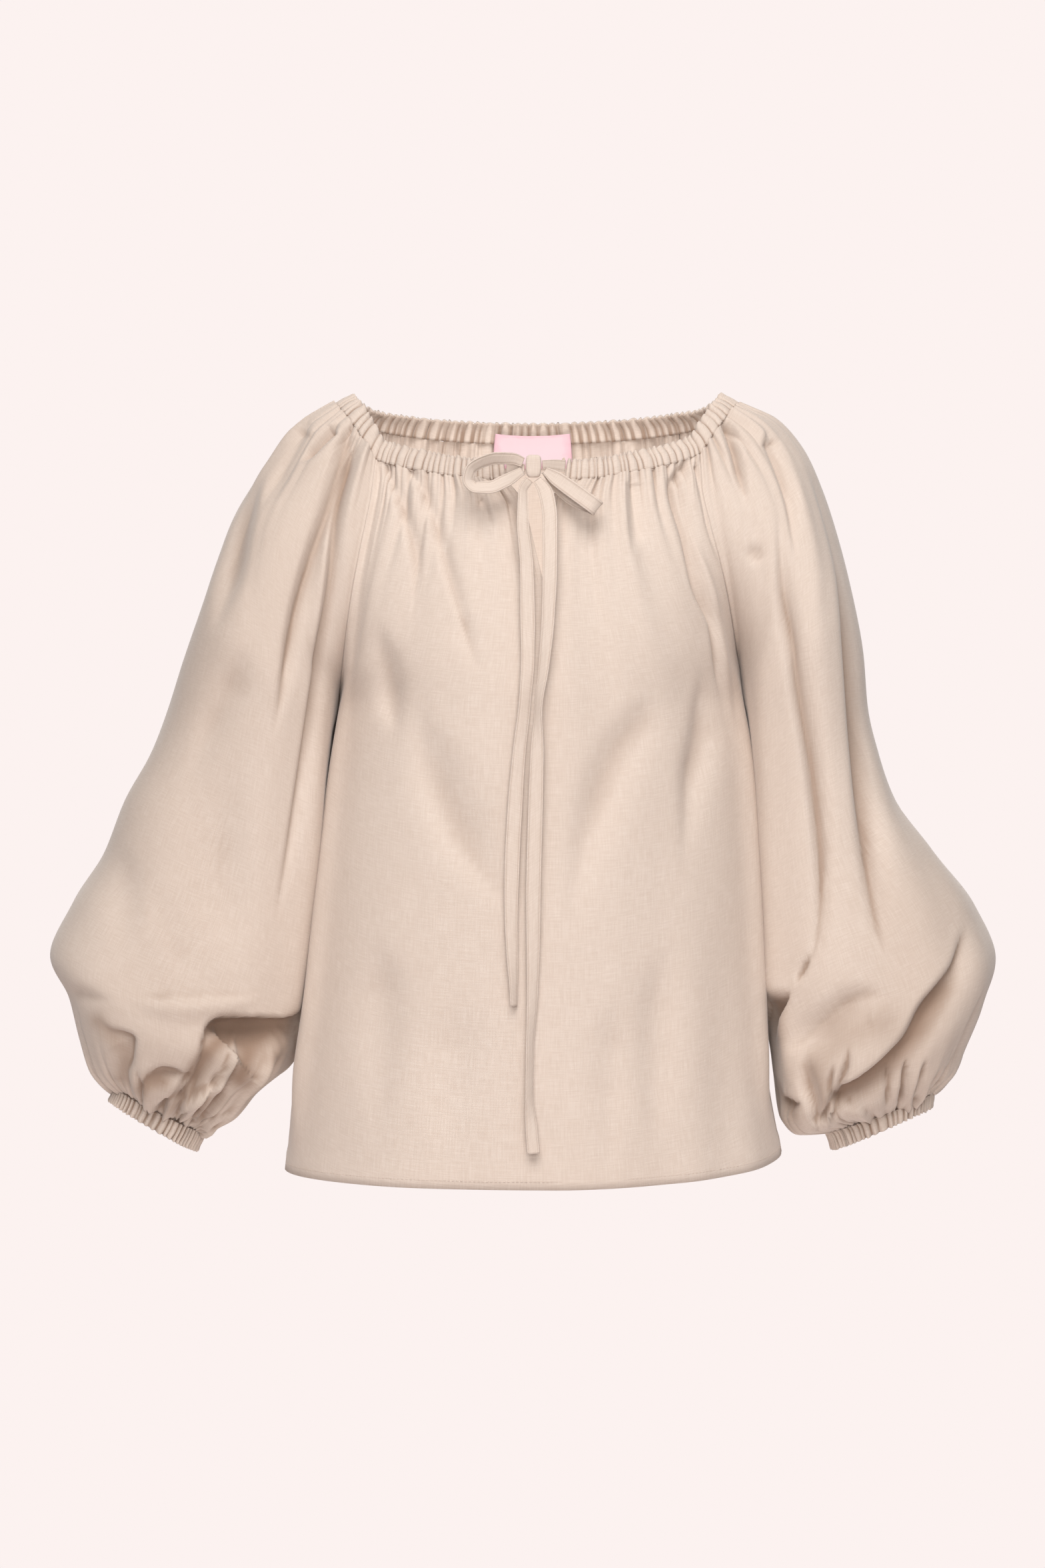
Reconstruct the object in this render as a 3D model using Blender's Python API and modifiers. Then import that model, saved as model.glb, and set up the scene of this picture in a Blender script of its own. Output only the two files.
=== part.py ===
"""Peasant blouse: raglan front, back and balloon sleeves gathered into a neck casing with a tied drawstring.

The blouse is modelled as it is worn, hollow, with nobody in it. Lengths in the tables and constants are
millimetres, angles are degrees. +X is the wearer's left, the front faces -Y, +Z is up, and the origin lies
between the shoulders, level with the top of the neck casing at the shoulder line.

Rows of every cloth piece are counted by one number, called `at`, so that pieces meet along their seams:
-1 top of the neck casing, 0 its stitched lower edge, 1 the underarm, 2 the hem or the top of the cuff,
3 the end of the cuff.
"""

import math
from collections import namedtuple

import bmesh
import bpy
import numpy as np

MM = 0.001

CLOTH = 1.2  # wall of the linen
CASING_WALL = 2.4  # turned cloth and the drawstring or elastic inside it
CASING_PUFF = 0.7  # how far a casing swells between its edges
HEM_EXTRA = 0.7  # more wall where the hem is turned up
SEAM_GAP = 0.3
SLEEVE_CLEAR = 1.8  # between the body's side and the sleeve that rests against it
UNDERARM_GAP, UNDERARM_REACH = 1.1, 65.0  # a wider seam gap where the walls meet at a sharp angle, and its reach
GATHER_HEIGHT = 1.5  # half the height of a gather at a casing
GATHER_FADE = 55.0  # how far down the cloth a gather runs
CASING_GATHER_HEIGHT = 1.0

FRONT_FOLDS, BACK_FOLDS, SLEEVE_FOLDS = 24, 20, 20  # gathers that run on into each panel
FRONT_GATHERS, BACK_GATHERS, SHOULDER_GATHERS = 40, 38, 19  # finer ones, in the neck casing
CUFF_GATHERS = 30

YOKE_ROWS = (0.0, 0.07, 0.16, 0.3, 0.5, 0.66, 0.8, 0.91, 1.0)
BODY_ROWS = (1.18, 1.38, 1.6, 1.8, 1.95, 2.0)
OWN_NORMALS_FROM = (0.5, 0.85)  # rows between which a seam's two walls stop leaning the same way
HEM_FOLD = 1.95  # the hem is turned up below this row
ARM_ROWS = (1.12, 1.24, 1.36, 1.48, 1.58, 1.67, 1.75, 1.82, 1.88, 1.94, 2.0)

SLIT_CENTRE = 3.0  # the neck slit lies this far to the wearer's left
SLIT_SPREAD = 75.0  # the cloth within this of the slit is pushed aside by it

TIE_WALL = 1.6
KNOT_SIZE = (13.0, 10.0, 17.0)
KNOT_PLACE = (1.5, -107.0, -62.0)
LABEL_WIDTH, LABEL_WALL = 60.0, 1.0
LABEL_ROWS = (-0.4, -0.15, 0.12)
LABEL_DEPTH = 3.5  # from the middle of the back casing's outside to the label that lies against its inside

LINEN = (0.76, 0.66, 0.56, 1.0)
LINEN_ROUGHNESS = 0.9
LABEL_PINK = (0.88, 0.70, 0.72, 1.0)

# One row for each section of a sleeve. out: the point furthest from the body; seam: the front raglan seam, or
# below the underarm the line nearest the body; back: how far the back seam is from the front one; half_depth
# and mid_y: the section from front to back; open_angle: half the turn that the section covers.
Section = namedtuple(
    "Section", "at out_x out_z seam_x seam_z back_dx back_dz half_depth mid_y open_angle"
)
RIGHT_SLEEVE = [
    Section(-1.0, -138, 1, -113, -38, 4, 30, 54, -2, 75),
    Section(0.0, -153, -5, -119, -53, 4, 31, 60, -3, 78),
    Section(0.2, -186, -25, -122, -80, 3, 22, 70, -1, 88),
    Section(0.4, -209, -54, -130, -120, 2, 14, 78, 1, 102),
    Section(0.6, -230, -87, -138, -161, 1, 7, 84, 3, 122),
    Section(0.8, -244, -126, -145, -206, 0, 2, 88, 4, 150),
    Section(1.0, -258, -169, -151, -246, 0, 0, 90, 5, 180),
    Section(1.1, -271, -205, -154, -288, 0, 0, 91, 12, 180),
    Section(1.2, -284, -242, -156, -327, 0, 0, 92, 18, 180),
    Section(1.3, -299, -276, -159, -366, 0, 0, 93, 22, 180),
    Section(1.4, -317, -311, -163, -402, 0, 0, 95, 24, 180),
    Section(1.5, -334, -356, -167, -438, 0, 0, 99, 26, 180),
    Section(1.6, -359, -393, -172, -471, 0, 0, 104, 26, 180),
    Section(1.7, -376, -433, -178, -500, 0, 0, 106, 24, 180),
    Section(1.8, -361, -464, -190, -522, 0, 0, 98, 14, 180),
    Section(1.9, -351, -498, -214, -542, 0, 0, 76, 3, 180),
    Section(1.95, -341, -522, -231, -561, 0, 0, 54, -4, 180),
    Section(2.0, -324, -536, -254, -572, 0, 0, 29, -6, 180),
    Section(3.0, -327, -547, -262, -585, 0, 0, 28, -7, 180),
]
LEFT_SLEEVE = [
    Section(-1.0, 147, 1, 122, -35, -4, 28, 54, -2, 75),
    Section(0.0, 162, -5, 129, -49, -4, 28, 60, -3, 78),
    Section(0.2, 189, -15, 130, -74, -3, 20, 70, -1, 88),
    Section(0.4, 212, -39, 136, -103, -2, 13, 78, 1, 102),
    Section(0.6, 228, -73, 145, -136, -1, 6, 84, 3, 122),
    Section(0.8, 242, -117, 155, -180, 0, 2, 88, 4, 150),
    Section(1.0, 252, -158, 164, -233, 0, 0, 90, 5, 180),
    Section(1.1, 260, -199, 166, -272, 0, 0, 90, 12, 180),
    Section(1.2, 264, -241, 169, -311, 0, 0, 90, 18, 180),
    Section(1.3, 272, -275, 171, -350, 0, 0, 91, 22, 180),
    Section(1.4, 285, -312, 173, -389, 0, 0, 92, 24, 180),
    Section(1.5, 314, -351, 174, -428, 0, 0, 96, 26, 180),
    Section(1.6, 347, -395, 175, -464, 0, 0, 102, 26, 180),
    Section(1.7, 363, -437, 186, -498, 0, 0, 105, 24, 180),
    Section(1.8, 353, -472, 190, -528, 0, 0, 98, 14, 180),
    Section(1.9, 339, -503, 194, -560, 0, 0, 76, 2, 180),
    Section(1.95, 329, -524, 207, -573, 0, 0, 54, -4, 180),
    Section(2.0, 313, -540, 228, -572, 0, 0, 31, -6, 180),
    Section(3.0, 310, -551, 236, -584, 0, 0, 30, -7, 180),
]

# The middle of the front and of the back, and how far round each row turns towards its ends.
Middle = namedtuple("Middle", "at y z turn")
FRONT_MIDDLE = [
    Middle(-1.0, -92, -56, 53),
    Middle(0.0, -98, -71, 55),
    Middle(0.2, -105, -100, 60),
    Middle(0.4, -113, -136, 66),
    Middle(0.6, -119, -172, 74),
    Middle(0.8, -124, -208, 83),
    Middle(1.0, -127, -244, 90),
    Middle(1.4, -127, -388, 90),
    Middle(1.8, -125, -532, 90),
    Middle(2.0, -124, -605, 90),
]
BACK_MIDDLE = [
    Middle(-1.0, 75, -13, 47),
    Middle(0.0, 80, -29, 50),
    Middle(0.2, 88, -62, 57),
    Middle(0.4, 95, -105, 65),
    Middle(0.6, 101, -150, 74),
    Middle(0.8, 105, -197, 83),
    Middle(1.0, 107, -244, 90),
    Middle(1.4, 105, -388, 90),
    Middle(1.8, 110, -532, 90),
    Middle(2.0, 113, -603, 90),
]

# The side seams below the underarm.
Side = namedtuple("Side", "at right_x right_z left_x left_z y")
SIDE_SEAMS = [
    Side(1.0, -151, -246, 164, -233, 5),
    Side(1.2, -158, -315, 173, -306, 0),
    Side(1.4, -165, -387, 177, -378, -5),
    Side(1.6, -173, -459, 180, -450, -7),
    Side(1.8, -184, -530, 183, -520, -8),
    Side(2.0, -191, -600, 194, -587, -8),
]

# Large folds as soft ridges and troughs. A fold runs down the cloth from start to end, as seen from the front
# or from the back; depth is inwards, so a ridge has a negative one.
Fold = namedtuple("Fold", "piece side start_x start_z end_x end_z width depth")
FOLDS = [
    Fold("front_panel", "front", -98, -75, -92, -150, 9, 5),
    Fold("front_panel", "front", -68, -80, -44, -215, 12, 5),
    Fold("front_panel", "front", -118, -175, -98, -235, 18, 4),
    Fold("front_panel", "front", -86, -290, -20, -415, 26, 6),
    Fold("front_panel", "front", 95, -235, 30, -430, 28, 6),
    Fold("front_panel", "front", 110, -70, 142, -235, 12, 6),
    Fold("front_panel", "front", 142, -150, 150, -330, 12, -4),
    Fold("front_panel", "front", 60, -80, 52, -170, 10, 4),
    Fold("sleeve_right", "front", -141, -45, -196, -250, 12, 8),
    Fold("sleeve_right", "front", -196, -250, -230, -360, 18, 6),
    Fold("sleeve_right", "front", -154, -110, -168, -340, 10, 8),
    Fold("sleeve_right", "front", -170, -60, -215, -130, 9, 6),
    Fold("sleeve_right", "front", -230, -150, -262, -300, 24, 7),
    Fold("sleeve_right", "front", -300, -330, -252, -395, 24, 6),
    Fold("sleeve_right", "front", -330, -400, -200, -455, 30, -8),
    Fold("sleeve_right", "front", -232, -500, -172, -505, 17, 34),
    Fold("sleeve_right", "front", -325, -478, -295, -535, 12, 12),
    Fold("sleeve_left", "front", 150, -50, 172, -90, 8, 8),
    Fold("sleeve_left", "front", 190, -55, 212, -155, 9, 6),
    Fold("sleeve_left", "front", 196, -100, 224, -410, 12, 8),
    Fold("sleeve_left", "front", 242, -150, 272, -420, 18, 9),
    Fold("sleeve_left", "front", 342, -405, 300, -500, 16, 16),
    Fold("sleeve_left", "front", 300, -500, 246, -552, 15, 15),
    Fold("sleeve_left", "front", 215, -500, 262, -475, 16, 12),
    Fold("sleeve_left", "front", 200, -420, 190, -500, 16, -8),
    Fold("back_panel", "back", -88, -60, -76, -200, 12, 5),
    Fold("back_panel", "back", -44, -84, -54, -240, 14, 5),
    Fold("back_panel", "back", 24, -84, 34, -190, 12, 4),
    Fold("back_panel", "back", 82, -60, 96, -260, 14, 6),
    Fold("back_panel", "back", -60, -330, -95, -560, 28, 6),
    Fold("back_panel", "back", 60, -320, 88, -560, 28, 6),
    Fold("sleeve_right", "back", -165, -60, -205, -260, 14, 7),
    Fold("sleeve_right", "back", -215, -120, -258, -360, 18, 7),
    Fold("sleeve_right", "back", -290, -400, -270, -530, 20, 16),
    Fold("sleeve_left", "back", 165, -60, 205, -260, 14, 7),
    Fold("sleeve_left", "back", 218, -120, 250, -380, 18, 7),
    Fold("sleeve_left", "back", 290, -400, 285, -530, 20, 16),
]

# Half the width of the neck slit, and how far its middle has moved towards the wearer's left.
Slit = namedtuple("Slit", "at half_width shift")
NECK_SLIT = [Slit(-1.0, 24, 0), Slit(0.0, 22, 0), Slit(0.15, 9, 1), Slit(0.27, 6, 3), Slit(0.5, 0, 7)]

# Routes of the tie, by hand: a point on its middle line, its direction across (twist about the line, 0 with
# the width to the left and right), and its width where it is creased narrower.
TieStation = namedtuple("TieStation", "x y z twist width")
TIE_TAIL_RIGHT = [
    TieStation(-1.6, -107.8, -72.3, 20, 7),
    TieStation(-6.4, -111.6, -82, 35, 8),
    TieStation(-6.5, -124.0, -105, 15, 9),
    TieStation(-3.6, -126.5, -140, 5, 10),
    TieStation(-3.0, -129.0, -175, 0, 11),
    TieStation(-2.8, -131.0, -205, 5, 10),
    TieStation(-5.0, -132.0, -240, 30, 10),
    TieStation(-9.5, -132.0, -280, 15, 10),
    TieStation(-12.5, -131.8, -320, 5, 11),
    TieStation(-14.5, -131.4, -360, 0, 11),
    TieStation(-15.2, -131.0, -395, 10, 10),
    TieStation(-14.6, -130.8, -425, 20, 9),
    TieStation(-13.4, -130.6, -450, 40, 8),
    TieStation(-13.0, -130.4, -467, 50, 7),
]
TIE_TAIL_LEFT = [
    TieStation(4.4, -108.4, -72.0, -5, 7),
    TieStation(11.0, -114.4, -83, -5, 11),
    TieStation(13.8, -120.0, -105, -5, 11),
    TieStation(13.6, -128.0, -140, -10, 11),
    TieStation(12.4, -131.0, -175, -15, 10),
    TieStation(9.2, -134.0, -212, -30, 9),
    TieStation(5.0, -136.0, -245, -50, 8),
    TieStation(4.0, -136.0, -280, -10, 10),
    TieStation(2.6, -135.0, -330, 0, 11),
    TieStation(1.4, -134.0, -380, 5, 11),
    TieStation(1.2, -133.0, -425, 15, 10),
    TieStation(0.6, -132.2, -460, 30, 9),
    TieStation(-1.2, -132.0, -500, 50, 8),
    TieStation(-1.6, -131.6, -532, 50, 8),
    TieStation(-0.2, -131.2, -557, 20, 9),
    TieStation(1.4, -131.0, -577, 0, 9),
]
BOW_LOOP_RIGHT = [
    TieStation(-6.4, -107.0, -59.0, 5, 7),
    TieStation(-15.0, -109.5, -56.5, 25, 9),
    TieStation(-26.0, -112.0, -56.5, 35, 10),
    TieStation(-37.0, -114.5, -59.5, 40, 10),
    TieStation(-45.5, -117.5, -65.5, 40, 10),
    TieStation(-47.5, -120.5, -73.0, 40, 10),
    TieStation(-42.0, -123.0, -79.0, 35, 10),
    TieStation(-32.0, -123.0, -79.0, 20, 10),
    TieStation(-20.0, -119.5, -74.0, 10, 10),
    TieStation(-6.8, -109.8, -65.5, 5, 6),
]
BOW_LOOP_LEFT = [
    TieStation(10.2, -110.8, -65.5, 0, 5.5),
    TieStation(20.0, -117.0, -73.0, 0, 11),
    TieStation(33.0, -120.5, -82.5, 0, 12),
    TieStation(45.0, -122.8, -91.5, 0, 12),
    TieStation(49.5, -119.6, -94.8, 0, 12),
    TieStation(45.0, -116.2, -93.0, 0, 11),
    TieStation(33.0, -114.6, -88.5, 5, 10),
    TieStation(21.0, -110.8, -79.0, 5, 9),
    TieStation(9.8, -107.2, -65.5, 0, 5),
]
TIE_LEAD_RIGHT = [
    TieStation(-18.8, -97.0, -62.5, 0, 9),
    TieStation(-13.0, -100.4, -63.0, 0, 8),
    TieStation(-5.4, -105.4, -63.5, 0, 6),
]
TIE_LEAD_LEFT = [
    TieStation(25.4, -95.8, -61.0, 0, 9),
    TieStation(17.0, -100.4, -60.5, 0, 8),
    TieStation(8.4, -105.4, -60.5, 0, 6),
]

# Each piece of the tie that shows. wide_along: which way its width lies, or None where it faces the front.
Tie = namedtuple("Tie", "node stations steps wide_along")
TIES = [
    Tie("bow_loop_right", BOW_LOOP_RIGHT, 25, None),
    Tie("bow_loop_left", BOW_LOOP_LEFT, 25, (0.62, 0.0, 0.78)),
    Tie("tie_lead_right", TIE_LEAD_RIGHT, 5, (0.0, 0.0, 1.0)),
    Tie("tie_lead_left", TIE_LEAD_LEFT, 5, (0.0, 0.0, 1.0)),
    Tie("tie_tail_right", TIE_TAIL_RIGHT, 28, None),
    Tie("tie_tail_left", TIE_TAIL_LEFT, 36, None),
]


def smooth_value(places, values, place):
    """A smooth curve through (places, values), read at place."""
    places, values = np.asarray(places, float), np.asarray(values, float)
    rises = np.diff(values) / np.diff(places)
    slopes = np.concatenate([rises[:1], np.zeros(len(rises) - 1), rises[-1:]])
    steady = rises[:-1] * rises[1:] > 0.0
    slopes[1:-1][steady] = (2.0 * rises[:-1] * rises[1:])[steady] / (rises[:-1] + rises[1:])[steady]
    cell = int(np.clip(np.searchsorted(places, place) - 1, 0, len(places) - 2))
    step = places[cell + 1] - places[cell]
    t = (place - places[cell]) / step
    return (
        values[cell] * (1 + 2 * t) * (1 - t) ** 2
        + slopes[cell] * step * t * (1 - t) ** 2
        + values[cell + 1] * t * t * (3 - 2 * t)
        + slopes[cell + 1] * step * t * t * (t - 1)
    )


def read_table(table, place):
    """The row of a table at any place between its rows."""
    places = [row[0] for row in table]
    columns = [[row[k] for row in table] for k in range(1, len(table[0]))]
    return type(table[0])(place, *(smooth_value(places, column, place) for column in columns))


def rounded(value, power):
    """A sine or cosine made fuller, so that an ellipse becomes a rounded box."""
    return math.copysign(abs(value) ** power, value)


def sleeve_point(table, at, around):
    """A point of a sleeve: around runs from -1 at the front seam, over 0 furthest out, to 1 at the back seam."""
    row = read_table(table, at)
    power = 1.0 - 0.2 * min(max(at - 0.3, 0.0), 1.0)
    limit = math.radians(min(row.open_angle, 180.0))
    angle = around * limit
    end = rounded(math.cos(limit), power)
    outward = (rounded(math.cos(angle), power) - end) / (1.0 - end)
    behind = (1.0 - outward) * (1.0 + around) / 2.0
    x = row.seam_x + (row.out_x - row.seam_x) * outward + row.back_dx * behind
    y = row.mid_y + row.half_depth * rounded(math.sin(angle), power)
    z = row.seam_z + (row.out_z - row.seam_z) * outward + row.back_dz * behind
    return np.array((beside_body(x, z), y, z))


def beside_body(x, z):
    """Where a sleeve rests against the side of the body, x is moved out until the two are just clear."""
    drop = (SIDE_SEAMS[0].right_z if x < 0.0 else SIDE_SEAMS[0].left_z) - z
    if drop <= 0.0:
        return x
    clear = min(SLEEVE_CLEAR, 0.15 * drop)
    right = np.interp(-z, [-row.right_z for row in SIDE_SEAMS], [row.right_x for row in SIDE_SEAMS])
    left = np.interp(-z, [-row.left_z for row in SIDE_SEAMS], [row.left_x for row in SIDE_SEAMS])
    return min(x, right - clear) if x < 0.0 else max(x, left + clear)


def side_point(at, wearer_side, around):
    """Where the front (around -1) or back (around 1) meets a sleeve, or below the underarm the side seam."""
    if at <= 1.0:
        return sleeve_point(RIGHT_SLEEVE if wearer_side == "right" else LEFT_SLEEVE, at, around)
    row = read_table(SIDE_SEAMS, at)
    if wearer_side == "right":
        return np.array((row.right_x, row.y, row.right_z))
    return np.array((row.left_x, row.y, row.left_z))


def panel_point(middles, around, at, across):
    """A point of the front or back: across runs from -1 at the wearer's right to 1 at the left."""
    row = read_table(middles, at)
    middle = np.array((0.0, row.y, row.z))
    end = side_point(at, "right" if across < 0 else "left", around)
    turn = math.radians(row.turn)
    angle = abs(across) * turn
    sideways = math.sin(angle) / math.sin(turn)
    forward = (1.0 - math.cos(angle)) / (1.0 - math.cos(turn))
    reach = end - middle
    return middle + np.array((reach[0] * sideways, reach[1] * forward, reach[2] * forward))


def front_point(across, at):
    return panel_point(FRONT_MIDDLE, -1.0, at, across)


def back_point(across, at):
    return panel_point(BACK_MIDDLE, 1.0, at, -across)


def right_sleeve_point(across, at):
    return sleeve_point(RIGHT_SLEEVE, at, -across)


def left_sleeve_point(across, at):
    return sleeve_point(LEFT_SLEEVE, at, across)


def neck_ring_point(turns, at):
    """A point of the neck casing: turns runs from 0 at the slit, round the wearer's left, to 4 at the slit."""
    if turns <= 0.5:
        return front_point(2.0 * turns, at)
    if turns >= 3.5:
        return front_point(2.0 * (turns - 4.0), at)
    piece = (left_sleeve_point, back_point, right_sleeve_point)[min(int(turns - 0.5), 2)]
    start = min(int(turns - 0.5), 2) + 0.5
    return piece(2.0 * (turns - start) - 1.0, at)


def sheet_points(point, acrosses, ats):
    """Rows of points of a sheet of cloth, from the top down."""
    return np.array([[point(across, at) for across in acrosses] for at in ats])


def face_normals(grid):
    """Outward normals of the cells of a sheet whose rows run left to right, as seen from outside."""
    down = grid[1:, :-1] - grid[:-1, 1:]
    right = grid[1:, 1:] - grid[:-1, :-1]
    return np.cross(down, right)


def shared_normals(sheets):
    """Outward normals at the points of several sheets, the same on both sides of a seam."""
    totals = {}
    for grid in sheets.values():
        for (row, column), _ in np.ndenumerate(np.zeros(np.array(grid.shape[:2]) - 1)):
            normal = face_normals(grid[row : row + 2, column : column + 2])[0, 0]
            for corner in (grid[row, column], grid[row, column + 1], grid[row + 1, column], grid[row + 1, column + 1]):
                key = tuple(np.round(corner, 2))
                totals[key] = totals.get(key, 0.0) + normal
    found = {}
    for name, grid in sheets.items():
        normals = np.array([[totals[tuple(np.round(point, 2))] for point in row] for row in grid])
        found[name] = normals / np.linalg.norm(normals, axis=2, keepdims=True)
    return found


def panel_normals(sheets, yoke_ats):
    """Normals shared along the raglan seams, but each panel's own towards the underarm, where the walls part."""
    together = shared_normals(sheets)
    body = {name: grid for name, grid in sheets.items() if name.endswith("panel")}
    apart = shared_normals(body)
    for name in sheets.keys() - body.keys():
        apart |= shared_normals({name: sheets[name]})
    low, high = OWN_NORMALS_FROM
    for name, grid in sheets.items():
        share = np.ones(len(grid))
        share[: len(yoke_ats)] = np.clip((np.array(yoke_ats) - low) / (high - low), 0.0, 1.0)
        mixed = together[name] * (1.0 - share[:, None, None]) + apart[name] * share[:, None, None]
        together[name] = mixed / np.linalg.norm(mixed, axis=2, keepdims=True)
    return together


def fade(distance, length):
    return np.exp(-((distance / length) ** 1.3))


def gather_heights(grid, top_height, end_height=0.0):
    """Every second column stands proud of the next, most at the casings, and dies away down the cloth."""
    drop = np.cumsum(np.linalg.norm(np.diff(grid, axis=0), axis=2).mean(axis=1))
    drop = np.concatenate([[0.0], drop])
    columns = np.arange(grid.shape[1])
    uneven = 0.75 + 0.25 * np.sin(columns * 1.9) * np.cos(columns * 0.7)
    length = GATHER_FADE * (0.8 + 0.5 * np.sin(columns * 2.3 + 1.0) ** 2)
    down = top_height * fade(drop[:, None], length[None, :])
    up = end_height * fade((drop[-1] - drop)[:, None], 0.7 * length[None, :])
    heights = (down + up) * uneven[None, :] * np.where(columns % 2, 1.0, -1.0)[None, :]
    heights[:, [0, -1]] = 0.0
    return heights


def fold_depths(name, grid, normals):
    """How far the large folds push each point of a sheet inwards."""
    depths = np.zeros(grid.shape[:2])
    for fold in FOLDS:
        if fold.piece != name:
            continue
        start = np.array((fold.start_x, fold.start_z))
        run = np.array((fold.end_x, fold.end_z)) - start
        length = np.linalg.norm(run)
        offset = grid[:, :, [0, 2]] - start
        along = (offset @ run) / length**2
        nearest = start + np.clip(along, 0.0, 1.0)[:, :, None] * run
        away = np.linalg.norm(grid[:, :, [0, 2]] - nearest, axis=2) / fold.width
        facing = normals[:, :, 1] * (-1.0 if fold.side == "front" else 1.0)
        depths += fold.depth * np.exp(-(away**2)) * np.clip(facing * 2.0, 0.0, 1.0)
    edges = np.ones(grid.shape[1])
    edges[[0, -1]] = 0.0
    return depths * edges[None, :] * np.clip(np.arange(grid.shape[0]), 0, 1)[:, None]


def drawn_in(grid, left=True, right=True, top=True, bottom=False, sideways=0.0):
    """The sheet with its sewn edges moved in by half the seam gap, and its side edges sideways as well."""
    grid = grid.copy()
    half = SEAM_GAP / 2.0

    def step(edge, inner):
        towards = inner - edge
        return edge + half * towards / np.linalg.norm(towards, axis=-1, keepdims=True)

    if left:
        grid[:, 0] = step(grid[:, 0], grid[:, 1])
    if right:
        grid[:, -1] = step(grid[:, -1], grid[:, -2])
    for edge in (0, -1):
        grid[:, edge, 0] += sideways * SEAM_GAP / 3.0 * np.sign(grid[:, edge, 0])
    if top:
        grid[0] = step(grid[0], grid[1])
    if bottom:
        grid[-1] = step(grid[-1], grid[-2])
    return grid


def linen_material(name, colour):
    material = bpy.data.materials.new(name)
    material.diffuse_color = colour
    material.use_nodes = True
    shader = material.node_tree.nodes["Principled BSDF"]
    shader.inputs["Base Color"].default_value = colour
    shader.inputs["Roughness"].default_value = LINEN_ROUGHNESS
    shader.inputs["Metallic"].default_value = 0.0
    return material


def new_object(name, mesh, material, collection):
    mesh.materials.append(material)
    item = bpy.data.objects.new(name, mesh)
    collection.objects.link(item)
    return item


def face_outwards(work):
    bmesh.ops.recalc_face_normals(work, faces=work.faces[:])
    if work.calc_volume(signed=True) < 0.0:
        bmesh.ops.reverse_faces(work, faces=work.faces[:])


def cloth_wall(name, outside, inside, material, collection, slit_rows=0, slit_shifts=None):
    """A closed wall of cloth between two sheets of points, made from a grid drawn out into a thickness.

    The edges down the middle column are split for slit_rows rows, and slit_shifts then moves each row's points
    sideways: it takes a row and an array of x values with the side of the slit that they lie on.
    """
    rows, columns = outside.shape[0] - 1, outside.shape[1] - 1
    mesh = bpy.data.meshes.new(name)
    work = bmesh.new()
    bmesh.ops.create_grid(work, x_segments=columns, y_segments=rows, size=1.0)
    row_of = work.verts.layers.int.new("row")
    column_of = work.verts.layers.int.new("column")
    for vert in work.verts:
        vert[row_of] = round((1.0 - vert.co.y) / 2.0 * rows)
        vert[column_of] = round((1.0 + vert.co.x) / 2.0 * columns)
    slit = [
        edge
        for edge in work.edges
        if all(v[column_of] * 2 == columns and v[row_of] <= slit_rows for v in edge.verts)
    ]
    if slit_rows:
        bmesh.ops.split_edges(work, edges=slit)
    side_of = work.verts.layers.int.new("side")
    for vert in work.verts:
        centre = sum(face.calc_center_median().x for face in vert.link_faces) / len(vert.link_faces)
        vert[side_of] = 1 if centre > 0.0 else -1
    drawn = bmesh.ops.extrude_face_region(work, geom=work.faces[:], use_keep_orig=True)
    inner = {item for item in drawn["geom"] if isinstance(item, bmesh.types.BMVert)}
    for vert in work.verts:
        sheet = inside if vert in inner else outside
        x, y, z = sheet[vert[row_of], vert[column_of]]
        if slit_shifts:
            x = slit_shifts(vert[row_of], x, vert[side_of])
        vert.co = (x * MM, y * MM, z * MM)
    face_outwards(work)
    work.to_mesh(mesh)
    work.free()
    return new_object(name, mesh, material, collection)


def beside_slit(at, x, side):
    """Where a point of the front goes when the neck slit opens beside it."""
    slit = read_table(NECK_SLIT, min(at, NECK_SLIT[-1].at))
    reach = 1.0 - min(abs(x) / SLIT_SPREAD, 1.0)
    return x + reach * (side * max(slit.half_width, 0.0) + slit.shift + SLIT_CENTRE)


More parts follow.
